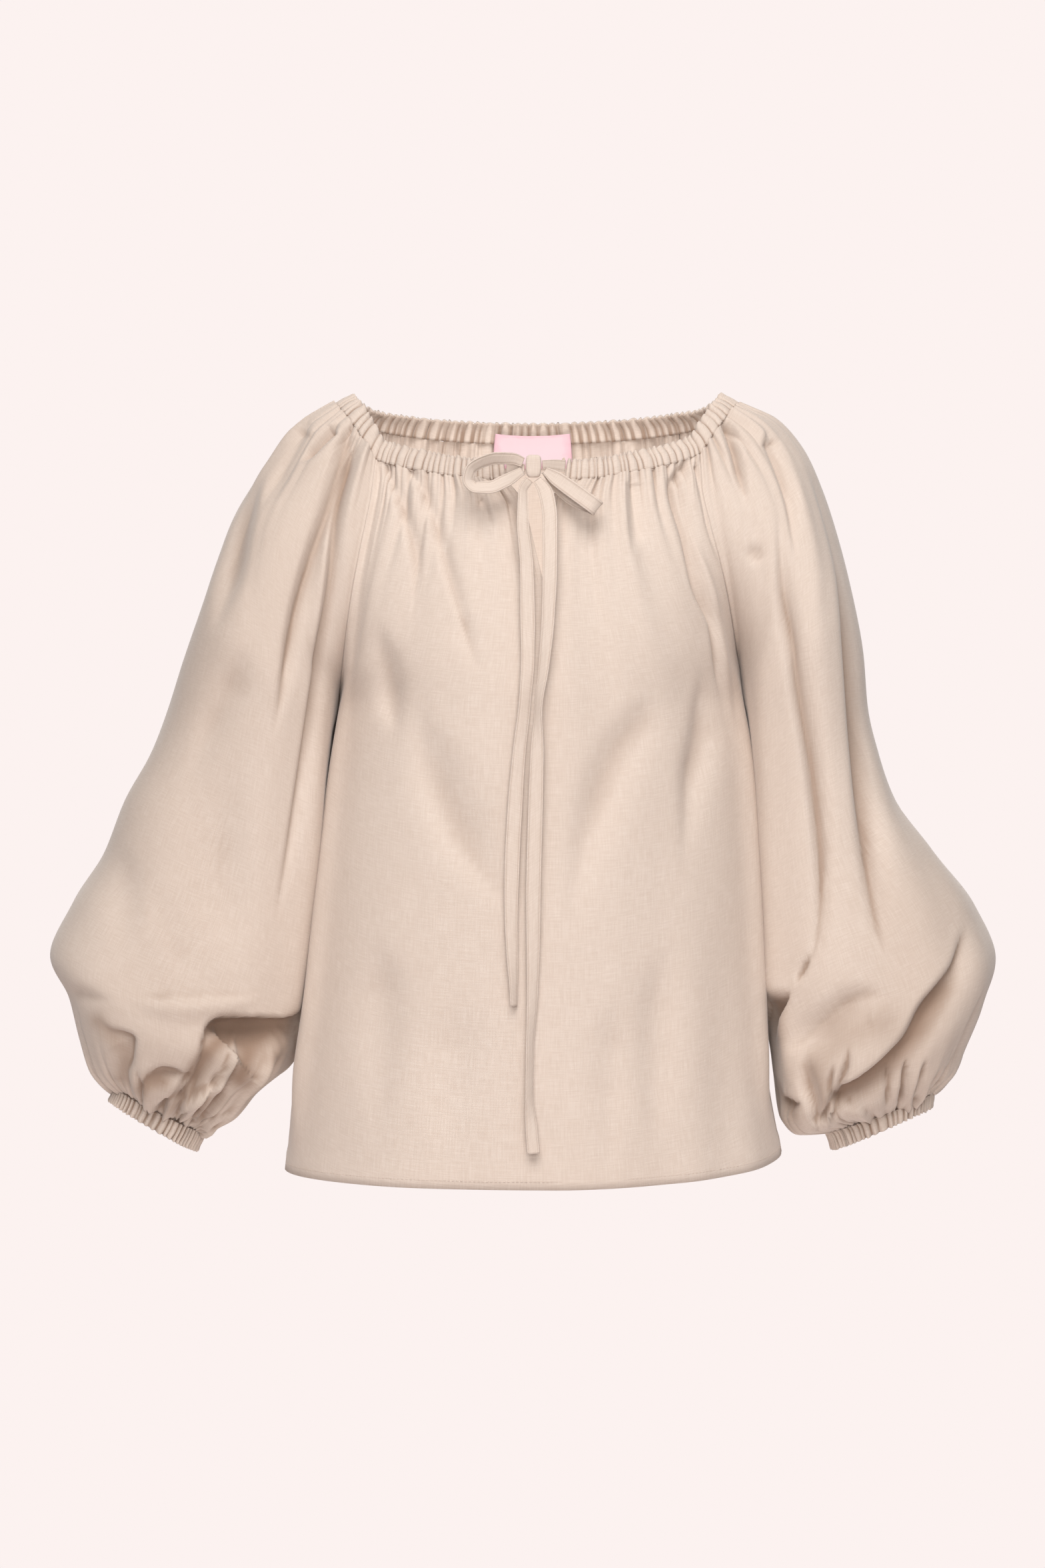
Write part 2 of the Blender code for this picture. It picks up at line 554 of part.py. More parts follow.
def make_panels(material, collection):
    """Front, back and sleeves, which share their seams and the normals along them."""
    body_ats = YOKE_ROWS + BODY_ROWS
    arm_ats = YOKE_ROWS + ARM_ROWS
    plans = {
        "front_panel": (front_point, FRONT_FOLDS, body_ats),
        "back_panel": (back_point, BACK_FOLDS, body_ats),
        "sleeve_right": (right_sleeve_point, SLEEVE_FOLDS, arm_ats),
        "sleeve_left": (left_sleeve_point, SLEEVE_FOLDS, arm_ats),
    }
    # Each sheet starts with one more row, and a sleeve also ends with one, for the normals at a casing's seam.
    sheets = {}
    for name, (point, folds, ats) in plans.items():
        past = (2.5,) if name.startswith("sleeve") else ()
        across = np.linspace(-1.0, 1.0, 2 * folds + 1)
        sheets[name] = sheet_points(point, across, (-0.5,) + ats + past)
    normals = panel_normals(sheets, (-0.5,) + YOKE_ROWS)
    for name, (_, _, ats) in plans.items():
        grid, outward = (sheet[1 : len(ats) + 1] for sheet in (sheets[name], normals[name]))
        is_sleeve = name.startswith("sleeve")
        heights = gather_heights(grid, GATHER_HEIGHT, GATHER_HEIGHT if is_sleeve else 0.0)
        heights -= fold_depths(name, grid, outward)
        wall = np.full(grid.shape[:2], CLOTH)
        if not is_sleeve:
            wall[np.array(ats) >= HEM_FOLD] += HEM_EXTRA
        drawn = drawn_in(grid, bottom=is_sleeve, sideways=1.0 if is_sleeve else -1.0)
        if is_sleeve:
            drop = (drawn[:, :, 2] - side_point(1.0, name.split("_")[1], -1.0)[2]) / UNDERARM_REACH
            drawn[:, :, 0] += UNDERARM_GAP * np.exp(-(drop**2)) * np.sign(drawn[:, :, 0])
        outside = drawn + outward * heights[:, :, None]
        inside = outside - outward * wall[:, :, None]
        slit_rows, shifts = 0, None
        if name == "front_panel":
            slit_rows = ats.index(NECK_SLIT[-1].at)

            def shifts(row, x, side, ats=ats):
                return beside_slit(ats[row], x, side)

        cloth_wall(name, outside, inside, material, collection, slit_rows, shifts)


def casing_sheets(grid, outward, height):
    """The outer and inner sheets of a gathered casing, swollen between its edges."""
    columns = np.arange(grid.shape[1])
    heights = height * np.where(columns % 2, 1.0, -1.0) * (0.8 + 0.2 * np.sin(columns * 1.3))
    heights[[0, -1]] = 0.0
    rows = np.linspace(0.0, 1.0, grid.shape[0])
    puff = CASING_PUFF * np.sin(math.pi * rows)
    outside = grid + outward * (heights[None, :, None] + puff[:, None, None])
    inside = outside - outward * (CASING_WALL - CLOTH / 2 + puff[:, None, None])
    return outside, inside


def make_neck_casing(material, collection):
    """One gathered strip round the neck, from one side of the slit to the other."""
    turns = np.concatenate(
        [
            np.linspace(0.0, 0.5, FRONT_GATHERS + 1)[:-1],
            np.linspace(0.5, 1.5, 2 * SHOULDER_GATHERS + 1)[:-1],
            np.linspace(1.5, 2.5, 2 * BACK_GATHERS + 1)[:-1],
            np.linspace(2.5, 3.5, 2 * SHOULDER_GATHERS + 1)[:-1],
            np.linspace(3.5, 4.0, FRONT_GATHERS + 1),
        ]
    )
    ats = (-1.0, -0.5, 0.0)
    grid = sheet_points(neck_ring_point, turns, ats + (YOKE_ROWS[1],))
    grid, outward = grid[:-1], shared_normals({"ring": grid})["ring"][:-1]
    grid = drawn_in(grid, left=False, right=False, top=False, bottom=True)
    outside, inside = casing_sheets(grid, outward, CASING_GATHER_HEIGHT)
    for sheet in (outside, inside):
        for row, at in enumerate(ats):
            for column, turn in enumerate(turns):
                if turn < 0.5 or turn > 3.5:
                    side = 1 if turn < 0.5 else -1
                    sheet[row, column, 0] = beside_slit(at, sheet[row, column, 0], side)
    cloth_wall("neck_casing", outside, inside, material, collection)


def make_cuffs(material, collection):
    for name, point in (("cuff_right", right_sleeve_point), ("cuff_left", left_sleeve_point)):
        across = np.linspace(-1.0, 1.0, 2 * CUFF_GATHERS + 1)
        grid = sheet_points(point, across, (ARM_ROWS[-2], 2.0, 2.5, 3.0))
        grid, outward = grid[1:], shared_normals({name: grid})[name][1:]
        grid = drawn_in(grid)
        outside, inside = casing_sheets(grid, outward, CASING_GATHER_HEIGHT)
        cloth_wall(name, outside, inside, material, collection)


def tie_sections(stations, steps):
    """Corner points of the tie's flat section at even steps along its route."""
    places = np.arange(len(stations), dtype=float)
    values = [
        [smooth_value(places, [station[k] for station in stations], place) for k in range(5)]
        for place in np.linspace(0.0, len(stations) - 1.0, steps)
    ]
    values = np.array(values)
    line, twist, width = values[:, :3], np.radians(values[:, 3]), values[:, 4]
    ahead = np.gradient(line, axis=0)
    ahead /= np.linalg.norm(ahead, axis=1, keepdims=True)
    return line, ahead, twist, width


def ribbon_corners(tie, steps):
    """The four corners of the tie's section at each step of its route."""
    line, ahead, twist, width = tie_sections(tie.stations, steps)
    rings = []
    for place, forward, turn, wide in zip(line, ahead, twist, width):
        across = np.cross(forward, (0.0, -1.0, 0.0)) if tie.wide_along is None else np.array(tie.wide_along)
        across = across - forward * (across @ forward)
        across /= np.linalg.norm(across)
        side = across * math.cos(turn) + np.cross(across, forward) * math.sin(turn)
        thick = np.cross(forward, side)
        rings.append(
            [
                place + side * wide / 2 * a + thick * TIE_WALL / 2 * b
                for a, b in ((-1, -1), (1, -1), (1, 1), (-1, 1))
            ]
        )
    return np.array(rings)


def make_ribbon(name, tie, material, collection):
    """A flat, sewn tie: its end face drawn out along its route."""
    rings = ribbon_corners(tie, tie.steps) * MM
    mesh = bpy.data.meshes.new(name)
    work = bmesh.new()
    face = work.faces.new([work.verts.new(corner) for corner in rings[0]])
    for count, (last, ring) in enumerate(zip(rings, rings[1:])):
        drawn = bmesh.ops.extrude_face_region(work, geom=[face], use_keep_orig=True)["geom"]
        if count:
            bmesh.ops.delete(work, geom=[face], context="FACES_ONLY")
        face = next(item for item in drawn if isinstance(item, bmesh.types.BMFace))
        for vert in face.verts:
            vert.co = ring[np.argmin(np.linalg.norm(last - np.array(vert.co), axis=1))]
    face_outwards(work)
    work.to_mesh(mesh)
    work.free()
    return new_object(name, mesh, material, collection)


def make_knot(material, collection):
    """The wrapped middle of the bow: a cube with its corners rounded off."""
    mesh = bpy.data.meshes.new("bow_knot")
    work = bmesh.new()
    bmesh.ops.create_cube(work, size=1.0)
    for vert in work.verts:
        narrow = 0.86 if vert.co.z < 0 else 1.0
        vert.co = [
            (place + size * part * (narrow if axis == 0 else 1.0)) * MM
            for axis, (place, size, part) in enumerate(zip(KNOT_PLACE, KNOT_SIZE, vert.co))
        ]
    work.to_mesh(mesh)
    work.free()
    knot = new_object("bow_knot", mesh, material, collection)
    bevel = knot.modifiers.new("round", "BEVEL")
    bevel.width = 3.0 * MM
    bevel.segments = 3
    return knot


def make_label(material, collection):
    """A small woven label that lies against the inside of the back casing."""
    columns = 8
    middle = back_point(0.0, 0.0)
    step = np.linalg.norm(back_point(0.01, 0.0) - middle) / 0.01
    across = np.linspace(1.0, -1.0, columns + 1) * LABEL_WIDTH / 2 / step
    grid = sheet_points(back_point, across, LABEL_ROWS)
    inward = -shared_normals({"label": grid[:, ::-1]})["label"][:, ::-1]
    behind = grid + inward * LABEL_DEPTH
    cloth_wall("neck_label", behind + inward * LABEL_WALL, behind, material, collection)


def main():
    for item in list(bpy.data.objects):
        bpy.data.objects.remove(item)
    collection = bpy.data.collections.new("peasant_blouse")
    bpy.context.scene.collection.children.link(collection)
    linen = linen_material("linen", LINEN)
    pink = linen_material("label", LABEL_PINK)
    make_panels(linen, collection)
    make_neck_casing(linen, collection)
    make_cuffs(linen, collection)
    make_knot(linen, collection)
    for tie in TIES:
        make_ribbon(tie.node, tie, linen, collection)
    make_label(pink, collection)


main()
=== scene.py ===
"""Peasant blouse in washed linen: gathered cloth, ties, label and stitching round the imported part.

Lengths in the tables are millimetres and angles degrees. Rows of every cloth piece are counted by one number,
called `at`: -1 top of the neck casing, 0 its stitched lower edge, 1 the underarm, 2 the hem or the top of the
cuff, 3 the end of the cuff.
"""

import math
from collections import namedtuple
from functools import lru_cache

import bmesh
import bpy
import numpy as np
from bpy.props import FloatProperty, FloatVectorProperty, PointerProperty
from mathutils import Matrix, Vector


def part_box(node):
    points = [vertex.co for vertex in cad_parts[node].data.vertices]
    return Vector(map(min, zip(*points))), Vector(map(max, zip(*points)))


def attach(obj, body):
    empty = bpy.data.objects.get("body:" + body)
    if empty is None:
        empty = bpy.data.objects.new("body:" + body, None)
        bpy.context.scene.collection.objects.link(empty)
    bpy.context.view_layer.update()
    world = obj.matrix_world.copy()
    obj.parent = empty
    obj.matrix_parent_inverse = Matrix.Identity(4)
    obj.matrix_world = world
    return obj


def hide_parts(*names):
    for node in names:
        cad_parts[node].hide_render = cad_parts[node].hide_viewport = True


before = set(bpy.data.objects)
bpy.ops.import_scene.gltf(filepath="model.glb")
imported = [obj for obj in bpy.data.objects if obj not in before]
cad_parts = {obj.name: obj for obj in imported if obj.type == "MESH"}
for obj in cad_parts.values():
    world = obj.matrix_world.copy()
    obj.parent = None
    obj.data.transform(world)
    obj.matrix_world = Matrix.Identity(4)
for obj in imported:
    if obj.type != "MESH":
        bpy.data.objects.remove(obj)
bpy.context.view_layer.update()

bl_info = {
    "name": "Peasant Blouse",
    "version": (1, 0, 0),
    "blender": (4, 5, 0),
    "location": "3D View > Sidebar > Blouse",
    "description": "Dresses a gathered linen blouse with balloon sleeves and a tied drawstring",
    "category": "Object",
}

MM = 0.001

SLIT_CENTRE = 3.0  # the neck slit lies this far to the wearer's left
SLIT_SPREAD = 75.0  # the cloth within this of the slit is pushed aside by it
SLIT_END = 0.5
SLEEVE_CLEAR = 1.8  # between the body's side and the sleeve that rests against it
CASING_PUFF = 0.9  # how far a casing swells between its edges
CASING_WALL, TIE_WALL, LABEL_WALL = 1.9, 0.9, 0.4
HEM_FOLD, HEM_STITCHES = 17.0, 5.0  # how far up the hem is turned, and its stitches
SEAM_GROOVE, SEAM_INSET = 0.45, 1.9  # depth of the groove beside a seam, and its distance from the edge
SWELL = 0.9  # height of the slow swells of the cloth
RIDGE_LEVEL = 0.55  # the share of a gather's ridge that lies below the plain cloth

# A crease that starts above one of these heights, or ends below NEAR_CUFF, is sewn into a casing there.
NEAR_NECK_PANEL, NEAR_NECK_SLEEVE, NEAR_CUFF = -88.0, -50.0, -535.0
FACING_SHARPNESS = 2.2  # how soon a crease fades where the cloth turns away
FOLD_SHADE_STRENGTH = 0.78  # of the shade painted into the gathers
POOL_START, POOL_DEPTH = 5.0, 9.0  # creases deeper than the first get shade painted into them, fully once deeper by the second
LABEL_HALF_WIDTH, LABEL_LIFT = 30.0, 4.2  # the label hangs this far inside the back
TIE_WIDTH = 10.0
STITCH_THICKNESS, STITCH_GAP = 0.45, 0.35  # the gap is a share of the stitch's length
WAVE_BAND = 0.314  # from one band to the next in Blender's wave texture at scale 1

PANEL_COLUMNS, PANEL_ROWS, SLEEVE_COLUMNS, SLEEVE_ROWS = 292, 158, 260, 178
TIE_COLUMNS, KNOT_CUTS = 18, 23

LENS, CAMERA_X, CAMERA_Z = 88.3, -0.0068, -0.301
FLOOR_LEVEL, FLOOR_RADIUS = -1.32, 1.7
WARM_WHITE, SOFT_WHITE = (1.0, 0.975, 0.95), (0.98, 0.96, 0.97, 1.0)

# One row for each section of a sleeve. out: the point furthest from the body; seam: the front raglan seam, or
# below the underarm the line nearest the body; back: how far the back seam is from the front one; half_depth
# and mid_y: the section from front to back; open_angle: half the turn that the section covers.
Section = namedtuple("Section", "at out_x out_z seam_x seam_z back_dx back_dz half_depth mid_y open_angle")
RIGHT_SLEEVE = [
    Section(-1.0, -138, 1, -113, -38, 4, 30, 54, -2, 75),
    Section(0.0, -153, -5, -119, -53, 4, 31, 60, -3, 78),
    Section(0.2, -186, -25, -122, -80, 3, 22, 70, -1, 88),
    Section(0.4, -209, -54, -130, -120, 2, 14, 78, 1, 102),
    Section(0.6, -230, -87, -138, -161, 1, 7, 84, 3, 122),
    Section(0.8, -244, -126, -145, -206, 0, 2, 88, 4, 150),
    Section(1.0, -258, -169, -151, -246, 0, 0, 90, 5, 180),
    Section(1.1, -271, -205, -154, -288, 0, 0, 91, 12, 180),
    Section(1.2, -284, -242, -156, -327, 0, 0, 92, 18, 180),
    Section(1.3, -299, -276, -159, -366, 0, 0, 93, 22, 180),
    Section(1.4, -317, -311, -163, -402, 0, 0, 95, 24, 180),
    Section(1.5, -334, -356, -167, -438, 0, 0, 99, 26, 180),
    Section(1.6, -359, -393, -172, -471, 0, 0, 104, 26, 180),
    Section(1.7, -376, -433, -178, -500, 0, 0, 106, 24, 180),
    Section(1.8, -361, -464, -190, -522, 0, 0, 98, 14, 180),
    Section(1.9, -351, -498, -214, -542, 0, 0, 76, 3, 180),
    Section(1.95, -341, -522, -231, -561, 0, 0, 54, -4, 180),
    Section(2.0, -324, -536, -254, -572, 0, 0, 29, -6, 180),
    Section(3.0, -327, -547, -262, -585, 0, 0, 28, -7, 180),
]
LEFT_SLEEVE = [
    Section(-1.0, 147, 1, 122, -35, -4, 28, 54, -2, 75),
    Section(0.0, 162, -5, 129, -49, -4, 28, 60, -3, 78),
    Section(0.2, 189, -15, 130, -74, -3, 20, 70, -1, 88),
    Section(0.4, 212, -39, 136, -103, -2, 13, 78, 1, 102),
    Section(0.6, 228, -73, 145, -136, -1, 6, 84, 3, 122),
    Section(0.8, 242, -117, 155, -180, 0, 2, 88, 4, 150),
    Section(1.0, 252, -158, 164, -233, 0, 0, 90, 5, 180),
    Section(1.1, 260, -199, 166, -272, 0, 0, 90, 12, 180),
    Section(1.2, 264, -241, 169, -311, 0, 0, 90, 18, 180),
    Section(1.3, 272, -275, 171, -350, 0, 0, 91, 22, 180),
    Section(1.4, 285, -312, 173, -389, 0, 0, 92, 24, 180),
    Section(1.5, 314, -351, 174, -428, 0, 0, 96, 26, 180),
    Section(1.6, 347, -395, 175, -464, 0, 0, 102, 26, 180),
    Section(1.7, 363, -437, 186, -498, 0, 0, 105, 24, 180),
    Section(1.8, 353, -472, 190, -528, 0, 0, 98, 14, 180),
    Section(1.9, 339, -503, 194, -560, 0, 0, 76, 2, 180),
    Section(1.95, 329, -524, 207, -573, 0, 0, 54, -4, 180),
    Section(2.0, 313, -540, 228, -572, 0, 0, 31, -6, 180),
    Section(3.0, 310, -551, 236, -584, 0, 0, 30, -7, 180),
]

# The middle of the front and of the back, and how far round each row turns towards its ends.
Middle = namedtuple("Middle", "at y z turn")
FRONT_MIDDLE = [
    Middle(-1.0, -92, -56, 53),
    Middle(0.0, -98, -71, 55),
    Middle(0.2, -105, -100, 60),
    Middle(0.4, -113, -136, 66),
    Middle(0.6, -119, -172, 74),
    Middle(0.8, -124, -208, 83),
    Middle(1.0, -127, -244, 90),
    Middle(1.4, -127, -388, 90),
    Middle(1.8, -125, -532, 90),
    Middle(2.0, -124, -605, 90),
]
BACK_MIDDLE = [
    Middle(-1.0, 75, -13, 47),
    Middle(0.0, 80, -29, 50),
    Middle(0.2, 88, -62, 57),
    Middle(0.4, 95, -105, 65),
    Middle(0.6, 101, -150, 74),
    Middle(0.8, 105, -197, 83),
    Middle(1.0, 107, -244, 90),
    Middle(1.4, 105, -388, 90),
    Middle(1.8, 110, -532, 90),
    Middle(2.0, 113, -603, 90),
]

# The side seams below the underarm.
Side = namedtuple("Side", "at right_x right_z left_x left_z y")
SIDE_SEAMS = [
    Side(1.0, -151, -246, 164, -233, 5),
    Side(1.2, -158, -315, 173, -306, 0),
    Side(1.4, -165, -387, 177, -378, -5),
    Side(1.6, -173, -459, 180, -450, -7),
    Side(1.8, -184, -530, 183, -520, -8),
    Side(2.0, -191, -600, 194, -587, -8),
]

# Creases and folds as they lie on the cloth, for each piece on the side they are seen from. The slopes of a
# crease reach wide_before and wide_after from its line; where the line runs down the cloth, before is towards
# the wearer's right. depth is inwards, so a ridge has a negative one. path is a line of points (x, z).
Crease = namedtuple("Crease", "wide_before wide_after depth path")
CREASES = {
    ("front_panel", "front"): [
        Crease(3.1, 6.8, 5.4, ((-112, -57), (-103, -80), (-94, -106), (-88, -140), (-92, -185))),
        Crease(3.1, 6.2, 4.2, ((-92, -62), (-80, -84), (-71, -112), (-64, -143), (-52, -188), (-42, -225))),
        Crease(3.6, 3.6, 2.7, ((-36, -86), (-30, -99), (-28, -113))),
        Crease(3.1, 3.1, 3.4, ((-19, -72), (-10, -97), (-9, -120))),
        Crease(9.4, 12.5, 6.6, ((-117, -177), (-112, -225), (-103, -269))),
        Crease(15.6, 19.7, 7.2, ((-88, -236), (-79, -278), (-63, -323), (-43, -362), (-16, -402))),
        Crease(7.2, 9.3, 1.6, ((-55, -170), (-53, -188), (-43, -222))),
        Crease(3.1, 6.2, 6.8, (
            (121, -53), (107, -76), (117, -114), (125, -151), (138, -180), (141, -215), (149, -244)
        )),
        Crease(4.2, 4.2, -4.1, ((116, -93), (137, -157), (147, -213), (157, -272))),
        Crease(5.2, 7.3, 3.4, ((76, -73), (77, -104), (76, -131))),
        Crease(3.1, 4.2, 6.1, ((127, -57), (130, -73), (137, -109), (146, -144))),
        Crease(9.4, 13.5, 7.6, ((131, -207), (131, -254), (122, -299), (115, -372))),
        Crease(15.6, 19.7, 7.2, ((92, -232), (84, -250), (63, -279), (44, -318), (29, -371), (22, -430))),
        Crease(3.6, 6.8, 4.1, ((-119, -58), (-128, -120), (-137, -191), (-142, -262))),
        Crease(15.6, 17.7, 4.8, ((107, -414), (97, -464), (94, -524), (96, -584))),
        Crease(17.7, 17.7, 4.8, ((-120, -414), (-114, -474), (-116, -585))),
        Crease(16.6, 16.6, 3.8, ((66, -453), (59, -513), (54, -603))),
        Crease(16.6, 17.7, 3.8, ((-54, -453), (-63, -513), (-65, -598))),
    ],
    ("sleeve_right", "front"): [
        Crease(3.6, 4.7, 8.1, ((-152, -27), (-167, -41), (-183, -56))),
        Crease(4.2, 7.3, 9.5, (
            (-141, -31), (-151, -66), (-160, -100), (-179, -168), (-190, -232), (-198, -269)
        )),
        Crease(3.6, 6.8, 9.5, (
            (-138, -46), (-149, -96), (-153, -149), (-161, -208), (-171, -269), (-187, -359), (-198, -416)
        )),
        Crease(8.3, 13.5, 8.7, ((-208, -54), (-224, -86), (-233, -144), (-242, -191))),
        Crease(4.7, 7.3, 5.4, ((-176, -25), (-193, -57), (-210, -96))),
        Crease(11.4, 15.5, 4.6, ((-212, -189), (-228, -222), (-247, -261), (-266, -313))),
        Crease(12.2, 14.4, 2.2, ((-292, -372), (-278, -404), (-266, -430), (-256, -452))),
        Crease(15.6, 15.6, 3.2, ((-322, -340), (-311, -389), (-310, -435))),
        Crease(17.6, 19.7, 3.8, ((-226, -290), (-234, -350), (-232, -400), (-226, -445))),
        Crease(6.2, 6.2, 2.4, ((-358, -457), (-341, -463), (-316, -466))),
        Crease(9.4, 7.3, -5.8, ((-307, -464), (-272, -471), (-237, -469), (-202, -465))),
        Crease(2.1, 25.0, 26, (
            (-177, -472), (-182, -478), (-193, -483), (-208, -482), (-223, -481), (-235, -480),
            (-244, -484), (-250, -499), (-259, -525)
        )),
        Crease(11.5, 3.4, 7.5, (
            (-333, -475), (-323, -488), (-312, -492), (-305, -497), (-307, -512), (-312, -525),
            (-309, -540), (-305, -548)
        )),
        Crease(8.6, 2.8, 7.5, (
            (-303, -545), (-298, -532), (-290, -523), (-280, -519), (-270, -521), (-260, -527), (-252, -530)
        )),
        Crease(2.6, 3.6, 6.0, ((-254, -506), (-260, -522), (-273, -540), (-288, -552))),
        Crease(2.1, 4.7, -9.0, (
            (-210, -483), (-222, -498), (-228, -511), (-236, -526), (-249, -537), (-267, -551)
        )),
        Crease(2.1, 4.7, -9.0, (
            (-194, -495), (-202, -512), (-211, -526), (-221, -539), (-231, -555), (-253, -567)
        )),
        Crease(2.6, 2.6, 8.0, ((-222, -504), (-227, -517), (-234, -531), (-244, -549), (-255, -562))),
        Crease(4.2, 3.1, 8.0, ((-187, -500), (-198, -520), (-213, -537), (-231, -557), (-248, -566))),
        Crease(1.6, 7.3, 8.0, ((-245, -489), (-251, -511), (-258, -529), (-273, -545))),
        Crease(1.6, 2.1, 4.0, ((-302, -517), (-299, -533), (-299, -546))),
        Crease(1.6, 2.1, 4.0, ((-279, -538), (-284, -549), (-286, -554))),
        Crease(1.6, 2.6, 5.0, ((-263, -537), (-271, -551), (-276, -560))),
        Crease(1.6, 2.6, 5.0, ((-238, -517), (-248, -540), (-264, -566))),
    ],
    ("sleeve_left", "front"): [
        Crease(3.6, 4.7, 9.5, ((149, -22), (154, -43), (159, -66), (165, -88))),
        Crease(6.2, 7.3, 2.5, ((166, -117), (173, -136))),
        Crease(3.6, 6.2, 7.4, ((180, -37), (189, -58), (196, -82), (201, -141))),
        Crease(4.7, 8.8, 10.1, (
            (187, -79), (189, -126), (191, -160), (201, -224), (215, -299), (221, -374), (217, -423),
            (203, -457)
        )),
        Crease(6.8, 11.4, 11.6, (
            (210, -51), (223, -79), (242, -147), (249, -223), (256, -318), (259, -374), (264, -412),
            (274, -438)
        )),
        Crease(3.1, 17.7, 15, (
            (336, -404), (330, -419), (323, -439), (311, -455), (297, -471), (286, -492), (268, -514),
            (249, -529), (236, -537), (232, -549)
        )),
        Crease(2.1, 9.4, 12, ((211, -546), (192, -544), (193, -529))),
        Crease(13.5, 2.1, 12, ((200, -458), (191, -480), (190, -502))),
        Crease(2.6, 2.6, 4.1, ((214, -429), (207, -443), (202, -455))),
        Crease(20.6, 9.2, 8.5, (
            (200, -510), (208, -498), (223, -482), (240, -468), (258, -461), (278, -466)
        )),
        Crease(2.6, 7.3, 8.0, ((209, -498), (210, -529), (215, -548), (218, -562))),
        Crease(2.1, 3.6, 7.0, ((240, -497), (239, -511), (234, -529), (226, -548), (222, -561))),
        Crease(1.6, 2.6, 5.0, ((230, -511), (226, -532), (234, -552))),
        Crease(1.6, 2.6, 5.0, ((271, -515), (274, -532), (273, -546))),
        Crease(1.6, 3.1, 6.0, ((288, -512), (286, -530), (283, -546))),
        Crease(1.6, 3.1, 6.0, ((302, -507), (297, -528), (292, -545))),
        Crease(1.6, 3.1, 5.0, ((314, -516), (307, -531), (302, -545))),
        Crease(1.6, 5.2, 6.0, ((351, -452), (339, -482), (325, -513), (309, -539))),
    ],
    ("back_panel", "back"): [
        Crease(9, 13, 4.6, ((-92, -38), (-86, -90), (-78, -215))),
        Crease(8, 13, 4.4, ((-40, -38), (-45, -110), (-56, -260))),
        Crease(12, 8, 4.2, ((20, -38), (25, -100), (38, -225))),
        Crease(13, 9, 5.2, ((80, -38), (86, -120), (99, -280))),
        Crease(24, 34, 5.6, ((-52, -250), (-66, -360), (-84, -470), (-96, -598))),
        Crease(34, 24, 5.6, ((50, -240), (62, -350), (78, -460), (88, -602))),
    ],
    ("sleeve_right", "back"): [
        Crease(11, 15, 5.8, ((-160, -30), (-176, -110), (-192, -200), (-203, -330))),
        Crease(14, 20, 5.6, ((-196, -60), (-222, -140), (-243, -240), (-262, -390))),
        Crease(14, 20, 5.5, ((-318, -352), (-302, -430), (-284, -500), (-268, -556))),
    ],
    ("sleeve_left", "back"): [
        Crease(15, 11, 5.8, ((160, -30), (178, -115), (193, -210), (202, -320))),
        Crease(20, 14, 5.6, ((200, -60), (224, -150), (241, -250), (252, -400))),
        Crease(20, 14, 5.5, ((322, -350), (310, -420), (294, -490), (280, -556))),
    ],
}

# Soft shade painted into the colour, in a hollow or over a rounded part of the front that turns from the
# light:
# its width to either side of a line of points (x, z), and its strength.
Shade = namedtuple("Shade", "width strength path")
SHADES = {
    "sleeve_right": [
        Shade(8, 1.0, ((-226, -486), (-243, -504), (-257, -526))),
        Shade(8, 1.0, ((-203, -488), (-210, -505), (-224, -525))),
        Shade(7, 0.8, ((-184, -480), (-186, -500), (-196, -512))),
        Shade(7, 0.55, ((-331, -482), (-321, -494), (-313, -510), (-316, -530))),
        Shade(6, 0.9, ((-297, -534), (-290, -529), (-281, -528))),
        Shade(5, 0.6, ((-262, -538), (-275, -551))),
        Shade(5, 0.6, ((-238, -540), (-256, -560))),
        Shade(75, 0.2, ((-205, -60), (-250, -220), (-290, -400), (-290, -520))),
    ],
    "sleeve_left": [
        Shade(7, 1.0, ((188, -470), (190, -496))),
        Shade(7, 0.8, ((182, -545), (200, -553))),
        Shade(13, 0.4, ((222, -508), (240, -492), (268, -482))),
        Shade(9, 0.5, ((215, -520), (226, -545))),
        Shade(8, 0.5, ((250, -534), (272, -520), (300, -488), (318, -458))),
        Shade(55, 0.19, ((300, -400), (290, -480), (270, -540))),
    ],
}

# Half the width of the neck slit, and how far its middle has moved towards the wearer's left.
Slit = namedtuple("Slit", "at half_width shift")
NECK_SLIT = [Slit(-1.0, 24, 0), Slit(0.0, 22, 0), Slit(0.15, 9, 1), Slit(0.27, 6, 3), Slit(0.5, 0, 7)]

# Gathers sewn into a casing: how many, their height, how far most of them run down the cloth, how many of
# them run on as long soft folds, and the height, reach and first width of those.
Gathers = namedtuple("Gathers", "count height length long_count long_height long_reach long_width seed")
NECK_GATHERS = {
    "front_panel": Gathers(46, 3.0, 24, 26, 3.4, 95, 3.0, 11),
    "back_panel": Gathers(42, 2.8, 26, 24, 3.4, 110, 3.0, 12),
    "sleeve_right": Gathers(22, 3.0, 28, 14, 4.2, 140, 3.2, 13),
    "sleeve_left": Gathers(22, 3.0, 28, 14, 4.2, 140, 3.2, 14),
}
CUFF_GATHERS = {
    "sleeve_right": Gathers(60, 2.4, 17, 34, 4.4, 42, 1.6, 15),
    "sleeve_left": Gathers(60, 2.4, 17, 34, 4.4, 42, 1.6, 16),
}
